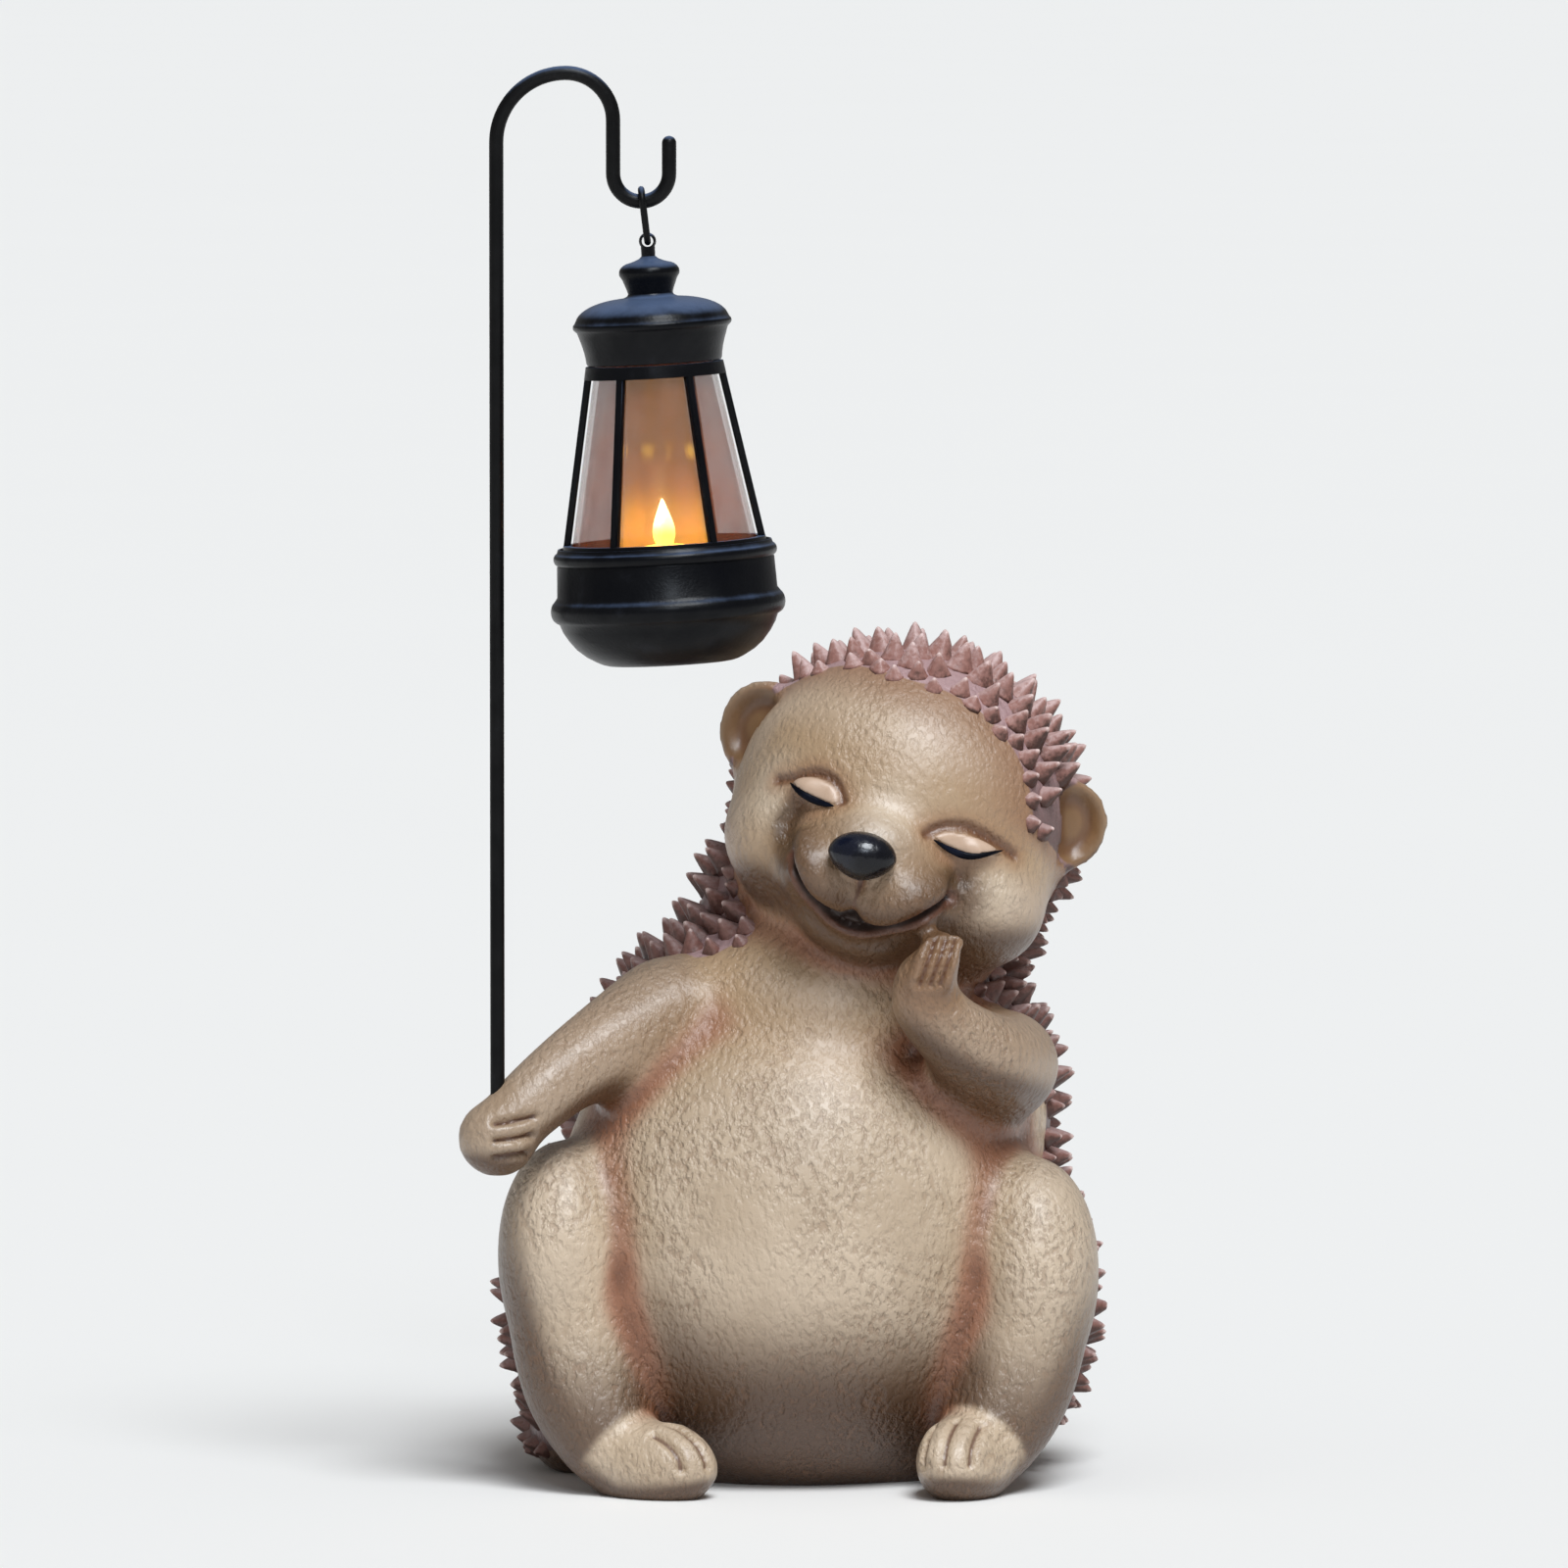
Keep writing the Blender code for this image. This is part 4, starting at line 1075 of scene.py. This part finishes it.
EYE_HEIGHT = 87.5
EYE_RADIUS = 1.8
EYE_BORE = 1.2
LANTERN = (
    Matrix.Translation((LINK_TOP + LINK_DOWN * (LINK_LENGTH - 0.2)) * MM)
    @ Matrix.Rotation(math.radians(-3.2), 4, "Y")
    @ Matrix.Translation((0, 0, -EYE_HEIGHT * MM))
)
FLOOR = 22.4
ROOF_FOOT = 62.4
CAGE_FOOT = FLOOR + 0.3
CAGE_TOP = ROOF_FOOT - 0.3
CAGE_FOOT_RADIUS = 21.5
CAGE_TOP_RADIUS = 14.3
RING = 2.6
BARS = 6
BAR_DEPTH = 1.6
BAR_WIDTH = 1.75
PANE_WALL = 1.2
SLEEVE_WALL = 0.7


def arc(centre, radii, start, end, steps=8):
    """Outline points of an arc, from one angle to another in degrees above the horizontal."""
    turns = [math.radians(start + (end - start) * step / steps) for step in range(steps + 1)]
    return [(centre[0] + radii[0] * math.cos(turn), centre[1] + radii[1] * math.sin(turn)) for turn in turns]


def turned(name, outline, ring=False, steps=96):
    """A lathe-turned piece of the lantern, from an outline of (radius, height) in mm down its outer side."""
    bm = bmesh.new()
    rings = []
    for radius, height in outline:
        if radius < 1e-6:
            rings.append([bm.verts.new((0, 0, height * MM))])
            continue
        turns = [math.tau * step / steps for step in range(steps)]
        spots = [Vector((radius * math.cos(turn), radius * math.sin(turn), height)) * MM for turn in turns]
        rings.append([bm.verts.new(spot) for spot in spots])
    pairs = list(zip(rings, rings[1:]))
    if ring:
        pairs.append((rings[-1], rings[0]))
    for high, low in pairs:
        for step in range(steps):
            after = (step + 1) % steps
            corners = [high[step % len(high)], low[step % len(low)]]
            corners += [low[after % len(low)], high[after % len(high)]]
            bm.faces.new(list(dict.fromkeys(corners)))
    bmesh.ops.recalc_face_normals(bm, faces=bm.faces)
    mesh = meshed(name, bm)
    mesh.transform(LANTERN)
    return shown(name, smoothed(mesh, 38))


def lantern_base():
    outline = [(0, FLOOR), (21.8, FLOOR), (21.8, 24.3), (22.0, 24.6), (22.2, 24.6)]
    outline += arc((22.1, 22.5), (1.15, 1.35), 70, -70)
    outline += [(22.6, 20.9), (22.9, 14.6)]
    outline += arc((22.9, 11.6), (1.5, 2.3), 62, -62)
    outline += [(22.7, 9.0), (22.1, 7.4), (21.0, 5.6), (19.4, 3.6), (17.5, 2.0), (15.4, 0.8)]
    outline += [(14.2, 0.25), (13.3, 0.0), (0, 0)]
    return turned("lantern_base_bowl", outline)


BLACK_PLASTIC = satin_black("satin_black_plastic", paint(6, 7, 11), roughness=0.34, wear=0.10)
base = lantern_base()
base.data.materials.append(BLACK_PLASTIC)
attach(base, "root")
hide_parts("lantern_base")

# The flame lamp
# A small warm lamp under a frosted lens in the shape of a flame, on a round holder that clips into the floor
# of the base. It is lit.


def flame_lamp():
    flame = [(0, 11.4), (0.3, 11.0), (0.75, 9.9), (1.25, 8.6), (1.75, 7.2), (2.15, 5.9), (2.35, 4.7)]
    holder = [(2.3, 3.5), (1.95, 2.4), (1.7, 1.9), (4.2, 1.6), (4.7, 1.2), (4.7, 0), (0, 0)]
    outline = [(radius, CAGE_FOOT + height) for radius, height in flame + holder]
    return turned("flame_lens", outline, steps=40)


def lit_lens():
    made, shader, shade = finish("lit_flame_lens", {"Roughness": 0.3, "Emission Strength": 30.0})
    spot = shade.place()
    veil = spot.noise(300, detail=3)
    low, high = (LANTERN @ Vector((0, 0, (CAGE_FOOT + at) * MM)) for at in (1.6, 11.0))
    rise = spot.upward().ramped(low.z, high.z) + (veil - 0.5) * 0.2
    feed(shader, "Base Color", rise.mixed(paint(255, 214, 140), paint(255, 240, 200)))
    feed(shader, "Emission Color", rise.ramped(0.1, 0.6).mixed(paint(255, 170, 60), paint(255, 222, 140)))
    return made


lamp = flame_lamp()
lamp.data.materials.append(lit_lens())
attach(lamp, "root")
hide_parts("flame_lamp")

# The amber sleeve
# A clear amber tube that stands over the lamp from the base to the roof. Its glow is painted: strongest near
# the lamp, with a painted reflection of the flame as a streaky band higher up. It shows as a warm column
# behind the middle of the pane.


def painted_glow_sleeve():
    outer = [(6.4, 60.6), (6.8, 52), (7.7, 42), (8.7, 31), (9.4, CAGE_FOOT + 0.1)]
    inner = [(radius - SLEEVE_WALL, height) for radius, height in reversed(outer)]
    return turned("painted_glow_sleeve", [*outer, *inner], ring=True, steps=64)


def painted_amber_glow():
    made, shader, shade = finish(
        "amber_sleeve", {"Roughness": 0.14, "Specular IOR Level": 0.6, "Emission Strength": 1.2}
    )
    spot = shade.place()
    low, high = (LANTERN @ Vector((0, 0, at * MM)) for at in (FLOOR, 58.0))
    rise = spot.upward().ramped(low.z, high.z)
    smear = spot.stretched((1, 1, 0.08)).noise(190, detail=1.5)
    feed(shader, "Base Color", rise.mixed(paint(196, 150, 66), paint(134, 104, 60)))
    # Painted glow, strongest near the lamp, and a painted reflection of the flame as a band higher up.
    from_below = (1 - rise.ramped(0.0, 0.42)) * 0.7
    band = rise.ramped(0.55, 0.66) * (1 - rise.ramped(0.66, 0.76)) * smear.ramped(0.50, 0.60)
    lit = from_below + band
    feed(shader, "Emission Color", lit.mixed(paint(132, 94, 34), paint(255, 206, 88)))
    feed(shader, "Alpha", 0.20 + smear.ramped(0.40, 0.75) * 0.20 + lit * 0.2)
    return made


sleeve = painted_glow_sleeve()
sleeve.data.materials.append(painted_amber_glow())
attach(sleeve, "root")

# The pane
# A tapered shell moulded in smoky clear plastic, which drops into the cage and rests in the rim of the base.


def cage_radius(height):
    """The cage leans in toward the roof."""
    lean = (CAGE_TOP_RADIUS - CAGE_FOOT_RADIUS) * (height - CAGE_FOOT) / (CAGE_TOP - CAGE_FOOT)
    return CAGE_FOOT_RADIUS + lean


def pane_shell():
    heights = np.linspace(CAGE_TOP, CAGE_FOOT, 9)
    outside = [(cage_radius(height) - BAR_DEPTH - 0.3, height) for height in heights]
    inside = [(radius - PANE_WALL, height) for radius, height in reversed(outside)]
    return turned("smoked_pane_shell", [*outside, *inside], ring=True)


def smoked_plastic():
    made, shader, shade = finish("smoked_clear_plastic", {"Specular IOR Level": 0.7, "Roughness": 0.07})
    spot = shade.place()
    haze = spot.noise(90, detail=4, roughness=0.6)
    drawn = spot.stretched((1, 1, 0.12)).noise(260, detail=3, distortion=0.6)
    feed(shader, "Base Color", haze.ramped(0.35, 0.7).mixed(paint(112, 64, 44), paint(150, 96, 72)))
    feed(shader, "Alpha", 0.33 + haze.ramped(0.4, 0.8) * 0.10 + drawn.ramped(0.5, 0.8) * 0.10)
    feed(shader, "Normal", shade.bumps(drawn, strength=0.12, distance=0.0006))
    return made


pane = pane_shell()
pane.data.materials.append(smoked_plastic())
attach(pane, "root")
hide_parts("lantern_pane")

# The cage
# Six leaning bars moulded in one with a ring at each end. It clips between the base and the roof and holds
# the pane.


def cage():
    bm = bmesh.new()
    for low, high in ((CAGE_FOOT, CAGE_FOOT + RING), (CAGE_TOP - RING, CAGE_TOP)):
        outline = [(cage_radius(high), high), (cage_radius(low), low)]
        outline += [(cage_radius(low) - BAR_DEPTH, low), (cage_radius(high) - BAR_DEPTH, high)]
        band = turned("band", outline, ring=True)
        bm.from_mesh(band.data)
        bpy.data.objects.remove(band)
    foot, head = (
        Vector((cage_radius(height) - BAR_DEPTH / 2 - 0.03, 0, height)) * MM
        for height in (CAGE_FOOT + RING / 2, CAGE_TOP - RING / 2)
    )
    lean = Vector((0, 0, 1)).rotation_difference(head - foot).to_matrix().to_4x4()
    size = Matrix.Diagonal(((BAR_DEPTH - 0.1) * MM, BAR_WIDTH * MM, (head - foot).length, 1))
    for bar in range(BARS):
        turn = LANTERN @ Matrix.Rotation(math.tau * bar / BARS, 4, "Z")
        place = turn @ Matrix.Translation((foot + head) / 2)
        made = bmesh.ops.create_cube(bm, size=1.0, matrix=place @ lean @ size)
        around = {edge for vert in made["verts"] for edge in vert.link_edges}
        bmesh.ops.bevel(bm, geom=list(around), offset=0.32 * MM, segments=3, affect="EDGES")
    return shown("lantern_cage_bars", smoothed(meshed("lantern_cage_bars", bm), 45))


bars = cage()
bars.data.materials.append(BLACK_PLASTIC)
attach(bars, "root")
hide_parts("lantern_cage")

# The roof
# A flared collar, a brim, a domed cap and a round finial with an eye, moulded in one. It closes the cage, and
# the link goes through its eye.


def roof():
    brim = ROOF_FOOT + 7.0
    neck = ROOF_FOOT + 13.8
    disc = ROOF_FOOT + 18.7
    outline = [(0, EYE_HEIGHT + EYE_RADIUS)] + arc((0, EYE_HEIGHT), (EYE_RADIUS, EYE_RADIUS), 75, -35)
    outline += [(1.45, 84.4), (2.0, 83.9), (2.9, 83.5)]
    outline += arc((3.4, disc), (2.9, 83.2 - disc), 80, 0, 5)
    outline += [(6.25, disc - 0.5), (5.7, disc - 1.4)]
    outline += [(4.9, neck + 1.4), (4.65, neck + 0.5), (4.9, neck + 0.05)]
    outline += arc((4.6, brim + 1.7), (11.3, neck - brim - 2.0), 84, 8, 14)
    outline += arc((16.0, brim + 0.95), (0.5, 0.75), 70, -70, 6)
    outline += [(15.7, brim - 0.2), (15.35, brim - 1.2), (14.9, brim - 2.6), (14.45, brim - 4.2)]
    outline += [(14.2, brim - 5.6), (14.1, brim - 6.6), (13.9, ROOF_FOOT), (0, ROOF_FOOT)]
    made = turned("lantern_roof_cap", outline)
    bm = bmesh.new()
    across = LANTERN @ Matrix.Translation((0, 0, EYE_HEIGHT * MM)) @ Matrix.Rotation(math.pi / 2, 4, "X")
    bore = EYE_BORE * MM
    bmesh.ops.create_cone(
        bm, cap_ends=True, segments=24, radius1=bore, radius2=bore, depth=4 * EYE_RADIUS * MM, matrix=across
    )
    cutter = shown("eye_bore", meshed("eye_bore", bm))
    cut = made.modifiers.new("eye", "BOOLEAN")
    cut.operation = "DIFFERENCE"
    cut.solver = "EXACT"
    cut.object = cutter
    bpy.context.view_layer.update()
    bored = bpy.data.meshes.new_from_object(made.evaluated_get(bpy.context.evaluated_depsgraph_get()))
    made.modifiers.clear()
    made.data = smoothed(bored, 38)
    bpy.data.objects.remove(cutter)
    return made


cap = roof()
cap.data.materials.clear()
cap.data.materials.append(BLACK_PLASTIC)
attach(cap, "root")
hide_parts("lantern_roof")

# The studio
# A plain pale floor, one tall soft window from above and the right, a small one in front, and an even sky.


def studio_floor():
    bm = bmesh.new()
    bmesh.ops.create_circle(bm, cap_ends=True, radius=80, segments=96)
    mesh = meshed("studio_floor", bm)
    made, shader, shade = finish("pale_floor", {"Roughness": 0.8, "Specular IOR Level": 0.2})
    cloud = shade.place().noise(3)
    feed(shader, "Base Color", cloud.mixed(paint(243, 240, 236), paint(244, 241, 237)))
    mesh.materials.append(made)
    return shown("studio_floor", mesh)


studio_floor()


def window(name, azimuth, elevation, breadth, strength, colour):
    """A broad soft light from far off. Its angles are in degrees, and azimuth is to the camera's right."""
    lamp = bpy.data.lights.new(name, "SUN")
    lamp.angle = math.radians(breadth)
    lamp.energy = strength
    lamp.color = colour
    holder = bpy.data.objects.new(name, lamp)
    bpy.context.scene.collection.objects.link(holder)
    turn, rise = math.radians(azimuth), math.radians(elevation)
    away = Vector((math.sin(turn) * math.cos(rise), -math.cos(turn) * math.cos(rise), math.sin(rise)))
    holder.rotation_mode = "QUATERNION"
    holder.rotation_quaternion = (-away).to_track_quat("-Z", "Y")


window("window", azimuth=20, elevation=58, breadth=26, strength=2.9, colour=(0.90, 0.95, 1.0))
window("front_window", azimuth=4, elevation=34, breadth=14, strength=0.45, colour=(0.80, 0.89, 1.0))
world = bpy.data.worlds.new("studio_sky")
world.use_nodes = True
world.node_tree.nodes["Background"].inputs["Color"].default_value = (1.0, 1.0, 1.0, 1.0)
world.node_tree.nodes["Background"].inputs["Strength"].default_value = 0.22
bpy.context.scene.world = world
bpy.context.scene.view_settings.view_transform = "Standard"

camera_data = bpy.data.cameras.new("camera")
camera_data.sensor_width = 36.0
camera_data.lens = 326.9
camera_data.clip_start = 0.1
camera_data.clip_end = 200.0
camera = bpy.data.objects.new("camera", camera_data)
bpy.context.scene.collection.objects.link(camera)
view_rise = math.radians(4.0)
view_distance = 3.0
aim = Vector((-0.003, 0.0, 0.1455))
camera.location = aim + Vector((0, -math.cos(view_rise), math.sin(view_rise))) * view_distance
camera.rotation_euler = (math.pi / 2 - view_rise, 0, 0)
bpy.context.scene.camera = camera
